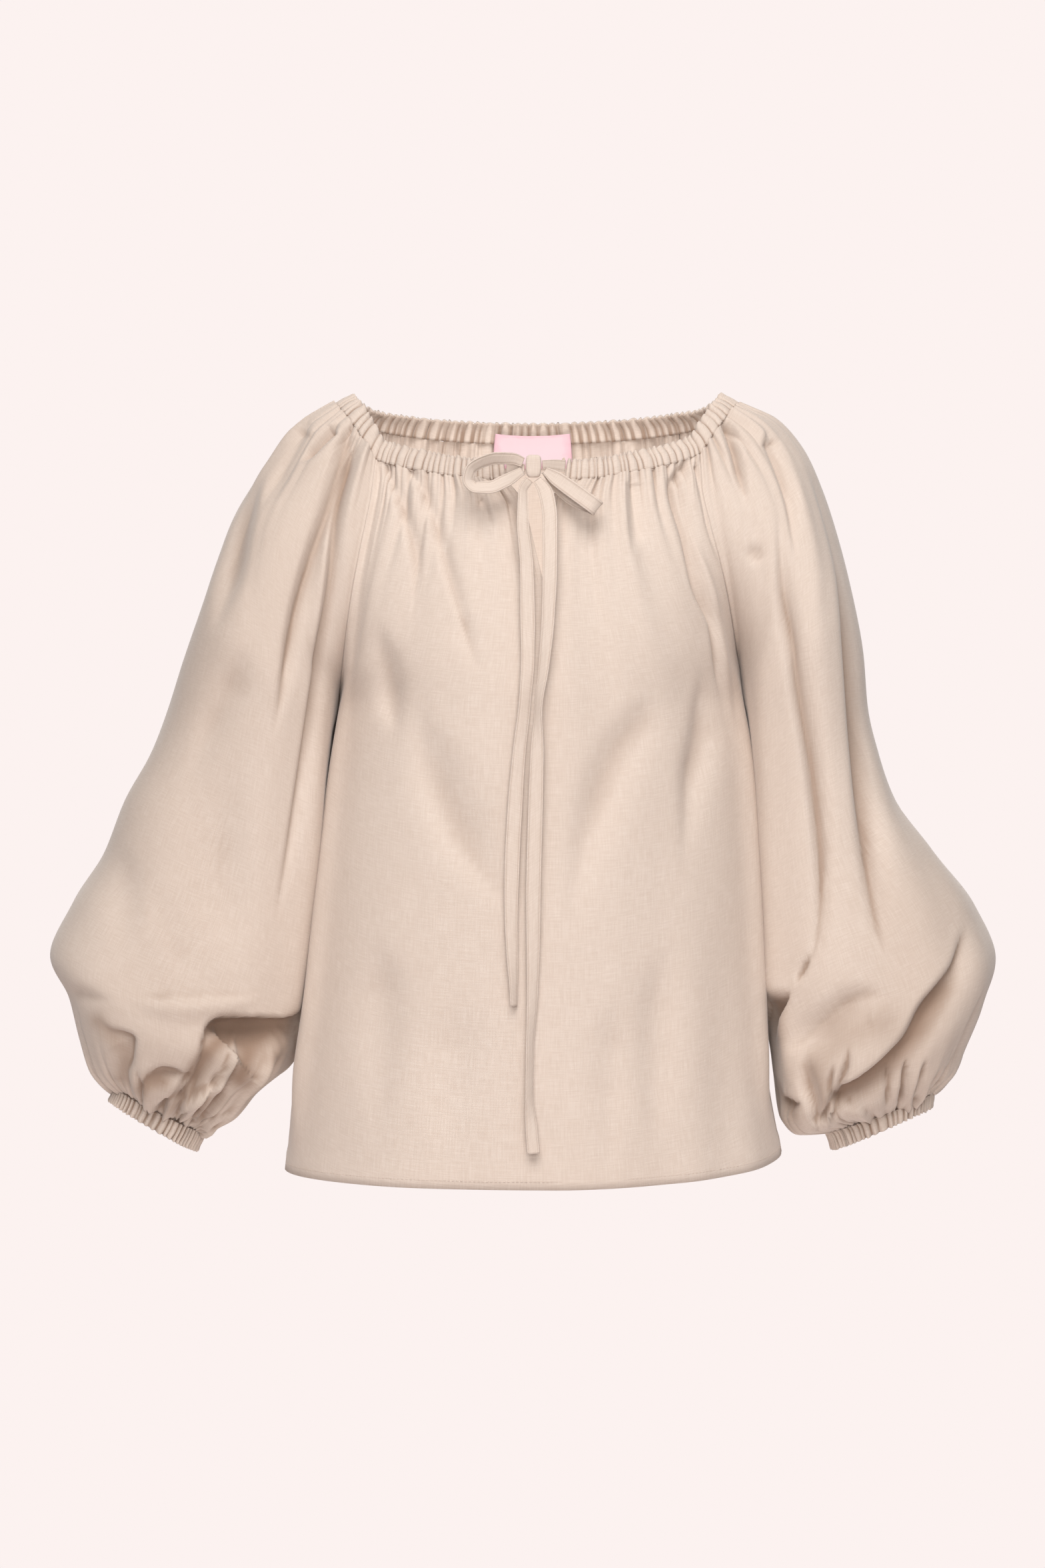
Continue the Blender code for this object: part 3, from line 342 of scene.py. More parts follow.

# Routes of the tie: a point on its middle line, its direction across (twist about the line, 0 with
# the width to the left and right), and its width where it is creased narrower.
TieStation = namedtuple("TieStation", "x y z twist width")
TIE_TAIL_RIGHT = [
    TieStation(-1.6, -107.8, -72.3, 20, 7),
    TieStation(-6.4, -111.6, -82, 35, 8),
    TieStation(-6.5, -124.0, -105, 15, 9),
    TieStation(-3.6, -126.5, -140, 5, 10),
    TieStation(-3.0, -129.0, -175, 0, 11),
    TieStation(-2.8, -131.0, -205, 5, 10),
    TieStation(-5.0, -132.0, -240, 30, 10),
    TieStation(-9.5, -132.0, -280, 15, 10),
    TieStation(-12.5, -131.8, -320, 5, 11),
    TieStation(-14.5, -131.4, -360, 0, 11),
    TieStation(-15.2, -131.0, -395, 10, 10),
    TieStation(-14.6, -130.8, -425, 20, 9),
    TieStation(-13.4, -130.6, -450, 40, 8),
    TieStation(-13.0, -130.4, -467, 50, 7),
]
TIE_TAIL_LEFT = [
    TieStation(4.4, -108.4, -72.0, -5, 7),
    TieStation(11.0, -114.4, -83, -5, 11),
    TieStation(13.8, -120.0, -105, -5, 11),
    TieStation(13.6, -128.0, -140, -10, 11),
    TieStation(12.4, -131.0, -175, -15, 10),
    TieStation(9.2, -134.0, -212, -30, 9),
    TieStation(5.0, -136.0, -245, -50, 8),
    TieStation(4.0, -136.0, -280, -10, 10),
    TieStation(2.6, -135.0, -330, 0, 11),
    TieStation(1.4, -134.0, -380, 5, 11),
    TieStation(1.2, -133.0, -425, 15, 10),
    TieStation(0.6, -132.2, -460, 30, 9),
    TieStation(-1.2, -132.0, -500, 50, 8),
    TieStation(-1.6, -131.6, -532, 50, 8),
    TieStation(-0.2, -131.2, -557, 20, 9),
    TieStation(1.4, -131.0, -577, 0, 9),
]
BOW_LOOP_RIGHT = [
    TieStation(-6.4, -107.0, -59.0, 5, 7),
    TieStation(-15.0, -109.5, -56.5, 25, 9),
    TieStation(-26.0, -112.0, -56.5, 35, 10),
    TieStation(-37.0, -114.5, -59.5, 40, 10),
    TieStation(-45.5, -117.5, -65.5, 40, 10),
    TieStation(-47.5, -120.5, -73.0, 40, 10),
    TieStation(-42.0, -123.0, -79.0, 35, 10),
    TieStation(-32.0, -123.0, -79.0, 20, 10),
    TieStation(-20.0, -119.5, -74.0, 10, 10),
    TieStation(-6.8, -109.8, -65.5, 5, 6),
]
BOW_LOOP_LEFT = [
    TieStation(10.2, -110.8, -65.5, 0, 5.5),
    TieStation(20.0, -117.0, -73.0, 0, 11),
    TieStation(33.0, -120.5, -82.5, 0, 12),
    TieStation(45.0, -122.8, -91.5, 0, 12),
    TieStation(49.5, -119.6, -94.8, 0, 12),
    TieStation(45.0, -116.2, -93.0, 0, 11),
    TieStation(33.0, -114.6, -88.5, 5, 10),
    TieStation(21.0, -110.8, -79.0, 5, 9),
    TieStation(9.8, -107.2, -65.5, 0, 5),
]
TIE_LEAD_RIGHT = [
    TieStation(-18.8, -97.0, -62.5, 0, 9),
    TieStation(-13.0, -100.4, -63.0, 0, 8),
    TieStation(-5.4, -105.4, -63.5, 0, 6),
]
TIE_LEAD_LEFT = [
    TieStation(25.4, -95.8, -61.0, 0, 9),
    TieStation(17.0, -100.4, -60.5, 0, 8),
    TieStation(8.4, -105.4, -60.5, 0, 6),
]

# Each piece of the tie that shows. wide_along: which way its width lies, or None where it faces the front.
Tie = namedtuple("Tie", "node stations steps wide_along")
TIES = [
    Tie("bow_loop_right", BOW_LOOP_RIGHT, 25, None),
    Tie("bow_loop_left", BOW_LOOP_LEFT, 25, (0.62, 0.0, 0.78)),
    Tie("tie_lead_right", TIE_LEAD_RIGHT, 5, (0.0, 0.0, 1.0)),
    Tie("tie_lead_left", TIE_LEAD_LEFT, 5, (0.0, 0.0, 1.0)),
    Tie("tie_tail_right", TIE_TAIL_RIGHT, 28, None),
    Tie("tie_tail_left", TIE_TAIL_LEFT, 36, None),
]


def colour_setting(name, description, *rgb):
    """A colour that a user can change."""
    shown = (*rgb, 1.0)
    return FloatVectorProperty(name=name, description=description, subtype="COLOR", size=4, default=shown)


def length_setting(name, description, default):
    """A length that a user can change, with its default in millimetres."""
    return FloatProperty(name=name, description=description, default=default * MM, unit="LENGTH")


class BlouseCloth(bpy.types.PropertyGroup):
    wall: length_setting("Cloth wall", "Thickness of one layer of linen", 0.8)
    thread_step: length_setting("Thread step", "Distance between neighbouring threads", 0.5)
    crinkle: length_setting("Crinkle", "Depth of the fine crumples of washed linen", 0.5)
    stitch_length: length_setting("Stitch length", "Length of one stitch", 2.4)


class BlouseColours(bpy.types.PropertyGroup):
    linen: colour_setting("Linen", "Colour of the cloth", 0.64, 0.548, 0.482)
    linen_dark: colour_setting("Darker threads", "Colour of the thicker, darker threads", 0.57, 0.472, 0.405)
    # Painted shade: a darker colour that stands in for the shade in folds and hollows and beside sewn edges.
    fold_shade_colour: colour_setting("Folds", "Colour of the cloth deep in a fold", 0.245, 0.153, 0.103)
    thread: colour_setting("Sewing thread", "Colour of the stitches", 0.57, 0.455, 0.385)
    label: colour_setting("Label", "Colour of the woven label", 0.688, 0.528, 0.573)
    label_edge: colour_setting("Label edge", "Colour near the edges of the label", 0.688, 0.376, 0.448)


class BlouseStudio(bpy.types.PropertyGroup):
    backdrop: colour_setting("Backdrop", "Colour behind the blouse", 0.973, 0.888, 0.871)
    key_power: FloatProperty(
        name="Key light", description="Power of the large soft light in front", default=136.0, unit="POWER"
    )
    fill_strength: FloatProperty(
        name="Fill", description="Strength of the light from all round", default=0.24, subtype="FACTOR"
    )
    distance: FloatProperty(
        name="Camera distance", description="From the lens to the blouse", default=3.0, unit="LENGTH"
    )


def smooth_curve(places, values, wanted):
    """A smooth curve through (places, values) that never overshoots them, read at every wanted place."""
    places, values = np.asarray(places, float), np.asarray(values, float)
    rises = np.diff(values) / np.diff(places)
    slopes = np.concatenate([rises[:1], np.zeros(len(rises) - 1), rises[-1:]])
    steady = rises[:-1] * rises[1:] > 0.0
    slopes[1:-1][steady] = (2.0 * rises[:-1] * rises[1:])[steady] / (rises[:-1] + rises[1:])[steady]
    cell = np.clip(np.searchsorted(places, wanted) - 1, 0, len(places) - 2)
    step = places[cell + 1] - places[cell]
    t = (wanted - places[cell]) / step
    return (
        values[cell] * (1 + 2 * t) * (1 - t) ** 2
        + slopes[cell] * step * t * (1 - t) ** 2
        + values[cell + 1] * t * t * (3 - 2 * t)
        + slopes[cell + 1] * step * t * t * (t - 1)
    )


def read_table(table, places):
    """The rows of a table at any places between its rows, each column as an array."""
    columns = np.array(table, float).T
    return type(table[0])(places, *(smooth_curve(columns[0], column, places) for column in columns[1:]))


def rounded(value, power):
    """A sine or cosine made fuller, so that an ellipse becomes a rounded box."""
    return np.sign(value) * np.abs(value) ** power


def beside_body(x, z):
    """Where a sleeve rests against the side of the body, x is moved out until the two are just clear."""
    right_side = x.mean() < 0.0
    top = SIDE_SEAMS[0].right_z if right_side else SIDE_SEAMS[0].left_z
    drop = np.maximum(top - z, 0.0)
    clear = np.minimum(SLEEVE_CLEAR, 0.15 * drop)
    seams = np.array(SIDE_SEAMS)
    if right_side:
        limit = np.interp(-z, -seams[:, 2], seams[:, 1]) - clear
        return np.where(drop > 0.0, np.minimum(x, limit), x)
    limit = np.interp(-z, -seams[:, 4], seams[:, 3]) + clear
    return np.where(drop > 0.0, np.maximum(x, limit), x)


def sleeve_points(table, at, around):
    """Points of a sleeve: around is -1 at the front seam, 0 furthest out and 1 at the back seam."""
    row = read_table(table, at)
    power = 1.0 - 0.2 * np.clip(at - 0.3, 0.0, 1.0)
    limit = np.radians(np.minimum(row.open_angle, 180.0))
    angle = around * limit
    end = rounded(np.cos(limit), power)
    outward = (rounded(np.cos(angle), power) - end) / (1.0 - end)
    behind = (1.0 - outward) * (1.0 + around) / 2.0
    x = row.seam_x + (row.out_x - row.seam_x) * outward + row.back_dx * behind
    y = row.mid_y + row.half_depth * rounded(np.sin(angle), power)
    z = row.seam_z + (row.out_z - row.seam_z) * outward + row.back_dz * behind
    return np.stack(np.broadcast_arrays(beside_body(x, z), y, z), axis=-1)


def side_points(at, table, around):
    """Where the front (around -1) or back (around 1) meets a sleeve, or below the underarm the side seam."""
    upper = sleeve_points(table, np.minimum(at, 1.0), around)
    row = read_table(SIDE_SEAMS, np.maximum(at, 1.0))
    x, z = (row.right_x, row.right_z) if table is RIGHT_SLEEVE else (row.left_x, row.left_z)
    lower = np.stack(np.broadcast_arrays(x, row.y, z), axis=-1)
    return np.where(np.broadcast_to(at <= 1.0, lower.shape[:-1])[..., None], upper, lower)


def panel_points(middles, around, at, across):
    """Points of the front or back: across runs from -1 at the wearer's right to 1 at the left."""
    at, across = np.broadcast_arrays(at, across)
    row = read_table(middles, at)
    middle = np.stack([np.zeros(at.shape), row.y, row.z], axis=-1)
    ends = [side_points(at, table, around) for table in (RIGHT_SLEEVE, LEFT_SLEEVE)]
    reach = np.where((across < 0.0)[..., None], *ends) - middle
    turn = np.radians(row.turn)
    angle = np.abs(across) * turn
    sideways = np.sin(angle) / np.sin(turn)
    forward = (1.0 - np.cos(angle)) / (1.0 - np.cos(turn))
    return middle + reach * np.stack([sideways, forward, forward], axis=-1)


POINTS = {
    "front_panel": lambda at, across: panel_points(FRONT_MIDDLE, -1.0, at, across),
    "back_panel": lambda at, across: panel_points(BACK_MIDDLE, 1.0, at, -across),
    "sleeve_right": lambda at, across: sleeve_points(RIGHT_SLEEVE, at, -across),
    "sleeve_left": lambda at, across: sleeve_points(LEFT_SLEEVE, at, across),
}


def outward_normals(base):
    """Outward normals of a sheet whose rows run left to right, as seen from outside."""
    normals = np.cross(np.gradient(base, axis=0), np.gradient(base, axis=1))
    return normals / np.maximum(np.linalg.norm(normals, axis=2, keepdims=True), 1e-9)


def arc_lengths(base, axis):
    """How far each point lies along its row or column, measured on the sheet."""
    steps = np.linalg.norm(np.diff(base, axis=axis), axis=2)
    start = np.zeros_like(steps[:1] if axis == 0 else steps[:, :1])
    return np.concatenate([start, np.cumsum(steps, axis=axis)], axis=axis)


def gather_ridges(gathers, across):
    """Each gather's ridge across a casing, 0 in the valleys between them, and its own height and length."""
    random = np.random.default_rng(gathers.seed)
    valleys = np.arange(gathers.count + 1) + random.uniform(-0.34, 0.34, gathers.count + 1)
    valleys[[0, -1]] = 0.0, gathers.count
    place = (across + 1.0) / 2.0 * gathers.count
    index = np.clip(np.searchsorted(valleys, place) - 1, 0, gathers.count - 1)
    share = (place - valleys[index]) / (valleys[index + 1] - valleys[index])
    height = random.uniform(0.35, 1.35, gathers.count)[index]
    length = random.uniform(0.5, 1.5, gathers.count)[index]
    return np.sin(np.pi * np.clip(share, 0.0, 1.0)) ** 0.6, height, length


def gather_relief(gathers, across, drop, half_width):
    """Ridges that leave a casing. Most die away soon; some widen and run on as soft folds and valleys."""
    ridge, height, length = gather_ridges(gathers, across)
    dying = np.exp(-((drop / (gathers.length * length)) ** 1.2))
    relief = gathers.height * height * (ridge - RIDGE_LEVEL) * dying
    random = np.random.default_rng(gathers.seed + 100)
    middles = (np.arange(gathers.long_count) + random.uniform(0.15, 0.85, gathers.long_count)) * 2.0
    for middle in middles / gathers.long_count - 1.0:
        tall = gathers.long_height * random.uniform(0.4, 1.2)
        reach = gathers.long_reach * random.uniform(0.4, 1.3)
        wide = gathers.long_width + drop * random.uniform(0.05, 0.09)
        if random.uniform() < 0.5:
            tall, wide = -0.9 * tall, 0.55 * wide
        lean = random.uniform(-0.12, 0.12) * drop
        away = ((across - middle) * half_width + lean) / wide
        relief = relief + tall * np.exp(-(away**2)) * np.exp(-((drop / reach) ** 1.5))
    return relief


def smooth_path(path, count=33):
    """Points at even steps along a smooth line through those of a path."""
    places = np.arange(len(path), dtype=float)
    wanted = np.linspace(0.0, len(path) - 1.0, count)
    return np.stack([smooth_curve(places, [point[k] for point in path], wanted) for k in (0, 1)], axis=1)


def fade_in(share):
    """A soft rise from 0 to 1."""
    share = np.clip(share, 0.0, 1.0)
    return share * share * (3.0 - 2.0 * share)


def crease_ends(path, is_sleeve, share):
    """A crease starts and ends softly, except where it leaves a casing."""
    from_neck = path[0][1] > (NEAR_NECK_SLEEVE if is_sleeve else NEAR_NECK_PANEL)
    to_cuff = is_sleeve and path[-1][1] < NEAR_CUFF
    start = fade_in(share / 0.1 + 0.5) if from_neck else fade_in(share / 0.4)
    end = fade_in((1.0 - share) / 0.1 + 0.5) if to_cuff else fade_in((1.0 - share) / 0.45)
    return start * end


def beside_line(seen, path):
    """For each point as seen: its distance to a path, how far along it lies, and on which side."""
    line = smooth_path(path)
    runs = np.diff(line, axis=0)
    away = np.full(seen.shape[:2], np.inf)
    share, side = np.zeros_like(away), np.zeros_like(away)
    for step, (start, run) in enumerate(zip(line, runs)):
        offset = seen - start
        along = np.clip((offset @ run) / (run @ run), 0.0, 1.0)
        rest = offset - along[..., None] * run
        distance = np.linalg.norm(rest, axis=-1)
        nearer = distance < away
        away = np.where(nearer, distance, away)
        share = np.where(nearer, (step + along) / len(runs), share)
        side = np.where(nearer, run[0] * rest[..., 1] - run[1] * rest[..., 0], side)
    return away, share, side


def crease_relief(node, base, normals):
    """How far the listed creases push each point of a sheet outwards."""
    relief = np.zeros(base.shape[:2])
    for seen_from, outwards in (("front", -1.0), ("back", 1.0)):
        facing = np.clip(outwards * normals[..., 1] * FACING_SHARPNESS, 0.0, 1.0)
        for crease in CREASES.get((node, seen_from), ()):
            away, share, side = beside_line(base[..., [0, 2]], crease.path)
            width = np.where(side < 0.0, crease.wide_before, crease.wide_after)
            ends = crease_ends(crease.path, node.startswith("sleeve"), share)
            slope = np.exp(-((away / (width * (0.45 + 0.55 * ends))) ** 2))
            relief -= crease.depth * slope * ends * facing
    return relief


def painted_shade(node, base, normals):
    """The soft shade painted on a sheet's front, as listed for it."""
    shade = np.zeros(base.shape[:2])
    for pool in SHADES.get(node, ()):
        away, _, _ = beside_line(base[..., [0, 2]], pool.path)
        shade = shade + (1.0 - shade) * pool.strength * np.exp(-((away / pool.width) ** 2))
    return shade * np.clip(-normals[..., 1] * FACING_SHARPNESS, 0.0, 1.0)


def soft_waves(base, seed, height):
    """Slow, uneven swells, longer down the cloth than across it."""
    random = np.random.default_rng(seed)
    relief = np.zeros(base.shape[:2])
    for _ in range(9):
        across, down = random.uniform(0.035, 0.11), random.uniform(0.006, 0.03)
        lean, turn = random.uniform(-1.0, 1.0), random.uniform(0.0, 6.28)
        x, y, z = np.moveaxis(base, -1, 0)
        relief += np.sin(x * across + y * across * 0.7 + lean * z * down + turn)
    return relief * height / 3.0


def full_edge(node, at, across, edge):
    """Below the underarm, body and sleeve fill out towards one another in front of where they touch."""
    low = fade_in((at - 0.75) / 0.45) * fade_in((2.0 - at) / 0.25)
    if not node.startswith("sleeve"):
        return 7.0 * low * np.exp(-(((edge - 38.0) / 16.0) ** 2))
    front = across > 0.0 if node == "sleeve_right" else across < 0.0
    return 5.0 * low * front * np.exp(-(((edge - 60.0) / 18.0) ** 2))


def fold_shade(relief):
    """How far each point lies below the cloth round it, as painted shade: 0 on open cloth, 1 in a deep fold.
    """
    shade = np.zeros_like(relief)
    for reach, start, depth in ((2, 0.1, 1.1), (9, 3.0, 8.0)):
        kernel = np.hanning(2 * reach + 3)[1:-1]
        kernel = kernel / kernel.sum()
        level = np.pad(relief, reach, mode="edge")
        for axis in (0, 1):
            level = np.apply_along_axis(np.convolve, axis, level, kernel, "valid")
        shade = shade + np.clip((level - relief - start) / depth, 0.0, 1.0)
    return np.clip(shade, 0.0, 1.0)


# How the rows of a sheet are spread: shares of the rows against places from the neck to the hem or cuff.
BODY_SPREAD = ((0.0, 0.2, 0.5, 1.0), (0.0, 0.14, 0.62, 2.0))
SLEEVE_SPREAD = ((0.0, 0.16, 0.4, 0.62, 1.0), (0.0, 0.16, 0.7, 1.45, 2.0))


@lru_cache
def cloth_sheet(node):
    """The finished surface of a panel or sleeve: points, normals, places, flat measure and painted shade in
    folds.
    """
    is_sleeve = node.startswith("sleeve")
    spread = SLEEVE_SPREAD if is_sleeve else BODY_SPREAD
    rows, columns = (SLEEVE_ROWS, SLEEVE_COLUMNS) if is_sleeve else (PANEL_ROWS, PANEL_COLUMNS)
    at = np.interp(np.linspace(0.0, 1.0, rows + 1), *spread)[:, None]
    across = np.linspace(-1.0, 1.0, columns + 1)[None, :]
    base = POINTS[node](at, across)
    normals = outward_normals(base)
    drop = arc_lengths(base, 0)
    half_width = arc_lengths(base, 1)[:, -1:] / 2.0
    relief = gather_relief(NECK_GATHERS[node], across, drop, half_width)
    if is_sleeve:
        rise = drop[-1:] - drop
        relief = relief + gather_relief(CUFF_GATHERS[node], across, rise, half_width)
    creases = crease_relief(node, base, normals)
    relief = relief + creases
    # Shade painted into the colour: in the valleys, in deep creases, in the listed hollows and over turned
    # sides.
    deep_crease_shade = np.clip((-creases - POOL_START) / POOL_DEPTH, 0.0, 1.0)
    shade = np.maximum(FOLD_SHADE_STRENGTH * fold_shade(relief), deep_crease_shade)
    shade = 1.0 - (1.0 - shade) * (1.0 - painted_shade(node, base, normals))
    relief = relief + soft_waves(base, NECK_GATHERS[node].seed, SWELL) * fade_in(drop / 60.0)
    edge = np.minimum(1.0 - across, 1.0 + across) * half_width
    relief = relief * fade_in(edge / 5.0) - SEAM_GROOVE * np.exp(-(((edge - SEAM_INSET) / 1.1) ** 2))
    relief = relief + full_edge(node, at, across, edge)
    if not is_sleeve:
        hem = drop[-1:] - drop
        relief = relief + 0.7 * fade_in((HEM_FOLD - hem) / 3.0)
        relief = relief - 0.25 * np.exp(-(((hem - HEM_STITCHES) / 0.9) ** 2))
    flat = np.stack([across * half_width.max() + 0.0 * drop, -drop], axis=-1)
    return base + normals * relief[..., None], normals, at[:, 0], flat, shade


def beside_slit(at, x, side):
    """Where a point of the front goes when the neck slit opens beside it."""
    slit = read_table(NECK_SLIT, np.minimum(at, SLIT_END))
    reach = 1.0 - np.minimum(np.abs(x) / SLIT_SPREAD, 1.0)
    return x + reach * (side * np.maximum(slit.half_width, 0.0) + slit.shift + SLIT_CENTRE)


def mesh_from(work, name):
    """The mesh of a finished bmesh."""
    mesh = bpy.data.meshes.new(name)
    work.to_mesh(mesh)
    work.free()
    return mesh


def grid_mesh(name, points, flat, shade, slit_rows=0, slit_place=None):
    """A grid drawn to the shape of a sheet, with a map of its own flat measure and the shade painted in its
    folds.
    """
    rows, columns = points.shape[0] - 1, points.shape[1] - 1
    work = bmesh.new()
    bmesh.ops.create_grid(work, x_segments=columns, y_segments=rows, size=1.0, calc_uvs=True)
    row_of = work.verts.layers.int.new("row")
    column_of = work.verts.layers.int.new("column")
    for vert in work.verts:
        vert[row_of] = round((1.0 - vert.co.y) / 2.0 * rows)
        vert[column_of] = round((1.0 + vert.co.x) / 2.0 * columns)
    if slit_rows:
        slit = [
            edge
            for edge in work.edges
            if all(v[column_of] * 2 == columns and v[row_of] <= slit_rows for v in edge.verts)
        ]
        bmesh.ops.split_edges(work, edges=slit)
    uv = work.loops.layers.uv.active or work.loops.layers.uv.new("cloth")
    for face in work.faces:
        face.smooth = True
        for loop in face.loops:
            loop[uv].uv = flat[loop.vert[row_of], loop.vert[column_of]] * MM
    # The painted shade, which the linen finish turns into a darker colour in folds and hollows.
    fold = work.verts.layers.float.new("fold")
    places = {}
    for vert in work.verts:
        row, column = vert[row_of], vert[column_of]
        vert[fold] = shade[row, column]
        x, y, z = points[row, column]
        if slit_place is not None:
            right = sum(face.calc_center_median().x for face in vert.link_faces) > 0.0
            x = slit_place[1 if right else 0][row, column]
        places[vert] = Vector((x * MM, y * MM, z * MM))
    for vert, place in places.items():
        vert.co = place
    mesh = mesh_from(work, name)
    mesh.uv_layers[0].name = "cloth"
    return mesh


def placed(context, name, data):
    """A new object in the scene, at the origin."""
    thing = bpy.data.objects.new(name, data)
    context.scene.collection.objects.link(thing)
    return thing


def new_piece(context, name, mesh, material, node=None):
    """A finished piece that rides on the body, stands for its node and takes its finish from a slot."""
    piece = placed(context, name, mesh)
    piece.data.materials.append(material)
    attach(piece, "root")
    if node:
        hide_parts(node)
    return piece


def thicken(piece, wall, offset=-1.0):
    """Gives a sheet its wall, inwards from its outer surface."""
    modifier = piece.modifiers.new("wall", "SOLIDIFY")
    modifier.thickness = wall
    modifier.offset = offset
    modifier.use_even_offset = False
    modifier.use_rim = True


def add_node(tree, kind, **values):
    """A shader node with its settings and the values of its sockets."""
    node = tree.nodes.new(kind)
    for name, value in values.items():
        if name in node.inputs:
            node.inputs[name].default_value = value
        else:
            setattr(node, name, value)
    return node


def finish(name, roughness=0.86, sheen=0.22):
    """An empty finish with its shader, ready for a colour and a surface."""
    material = bpy.data.materials.get(name)
    if material:
        return material, None, None
    material = bpy.data.materials.new(name)
    material.use_nodes = True
    shader = material.node_tree.nodes["Principled BSDF"]
    shader.inputs["Roughness"].default_value = roughness
    shader.inputs["Sheen Weight"].default_value = sheen
    shader.inputs["Sheen Roughness"].default_value = 0.45
    shader.inputs["Specular IOR Level"].default_value = 0.25
    return material, material.node_tree, shader


def thread_streaks(tree, coordinates, along, across):
    """Noise drawn out along the threads of one direction: slubs and uneven yarn."""
    mapping = add_node(tree, "ShaderNodeMapping")
    mapping.inputs["Scale"].default_value = (along, across, 1.0)
    noise = add_node(tree, "ShaderNodeTexNoise", Scale=1.0, Detail=2.0, Roughness=0.55)
    tree.links.new(coordinates, mapping.inputs["Vector"])
    tree.links.new(mapping.outputs["Vector"], noise.inputs["Vector"])
    return noise.outputs["Fac"]


def add_maths(tree, operation, *values):
    """A sum of numbers or of other nodes' outputs."""
    node = add_node(tree, "ShaderNodeMath", operation=operation)
    for socket, value in zip(node.inputs, values):
        if isinstance(value, (int, float)):
            socket.default_value = value
        else:
            tree.links.new(value, socket)
    return node.outputs["Value"]


def linen_finish(context):
    """Washed linen: plain weave with slubs both ways, soft crumples, slow changes of tone and painted shade
    in folds.
    """
    cloth, colours = context.scene.blouse_cloth, context.scene.blouse_colours
    material, tree, shader = finish("washed_linen")
    if tree is None:
        return material
    uv = add_node(tree, "ShaderNodeUVMap", uv_map="cloth").outputs["UV"]
    weft = thread_streaks(tree, uv, 70.0, 1150.0)
    warp = thread_streaks(tree, uv, 1150.0, 60.0)
    yarn = add_maths(tree, "ADD", weft, warp)
    spot = add_maths(tree, "MULTIPLY_ADD", yarn, 1.9, -1.4)
    place = add_node(tree, "ShaderNodeTexCoord").outputs["Object"]
    tone = add_node(tree, "ShaderNodeTexNoise", Scale=7.0, Detail=2.0, Roughness=0.5)
    tree.links.new(place, tone.inputs["Vector"])
    colour = add_node(tree, "ShaderNodeMix", data_type="RGBA", clamp_factor=True)
    colour.inputs["A"].default_value = colours.linen
    colour.inputs["B"].default_value = colours.linen_dark
    shade = add_maths(tree, "MULTIPLY_ADD", tone.outputs["Fac"], 0.7, -0.2)
    tree.links.new(add_maths(tree, "ADD", spot, shade), colour.inputs["Factor"])
    # Painted shade: where the fold attribute says so, a darker colour stands in for the shade in folds.
    folds = add_node(tree, "ShaderNodeMix", data_type="RGBA", clamp_factor=True)
    folds.inputs["B"].default_value = colours.fold_shade_colour
    shaded = add_node(tree, "ShaderNodeAttribute", attribute_name="fold").outputs["Fac"]
    tree.links.new(add_maths(tree, "MULTIPLY", shaded, 0.85), folds.inputs["Factor"])
    tree.links.new(colour.outputs["Result"], folds.inputs["A"])
    tree.links.new(folds.outputs["Result"], shader.inputs["Base Color"])
    tree.links.new(add_maths(tree, "MULTIPLY_ADD", yarn, 0.14, 0.74), shader.inputs["Roughness"])
    waves = []
    for direction in ("X", "Y"):
        wave = add_node(
            tree, "ShaderNodeTexWave", bands_direction=direction, Distortion=0.0,
            Scale=WAVE_BAND / (2.0 * cloth.thread_step),
        )
        tree.links.new(uv, wave.inputs["Vector"])
        waves.append(add_maths(tree, "MULTIPLY_ADD", wave.outputs["Fac"], 2.0, -1.0))
    weave = add_maths(tree, "MULTIPLY", *waves)
    height = add_maths(tree, "MULTIPLY_ADD", weave, 0.35, yarn)
    crumple = add_node(tree, "ShaderNodeTexNoise", Scale=75.0, Detail=3.0, Roughness=0.55)
    tree.links.new(place, crumple.inputs["Vector"])
    dents = add_node(tree, "ShaderNodeBump", Strength=0.55, Distance=cloth.crinkle)
    fabric = add_node(tree, "ShaderNodeBump", Strength=0.5, Distance=0.12 * MM)
    tree.links.new(crumple.outputs["Fac"], dents.inputs["Height"])
    tree.links.new(height, fabric.inputs["Height"])
    tree.links.new(dents.outputs["Normal"], fabric.inputs["Normal"])
    tree.links.new(fabric.outputs["Normal"], shader.inputs["Normal"])
    return material


def thread_finish(context):
    """Sewing thread with a slight twist to its surface."""
    material, tree, shader = finish("sewing_thread", 0.7, 0.1)
    if tree is None:
        return material
    place = add_node(tree, "ShaderNodeTexCoord").outputs["Object"]
    noise = add_node(tree, "ShaderNodeTexNoise", Scale=1800.0, Detail=1.0)
    tree.links.new(place, noise.inputs["Vector"])
    colour = add_node(tree, "ShaderNodeMix", data_type="RGBA")
    colour.inputs["A"].default_value = context.scene.blouse_colours.thread
    colour.inputs["B"].default_value = context.scene.blouse_colours.linen
    tree.links.new(noise.outputs["Fac"], colour.inputs["Factor"])
    tree.links.new(colour.outputs["Result"], shader.inputs["Base Color"])
    return material


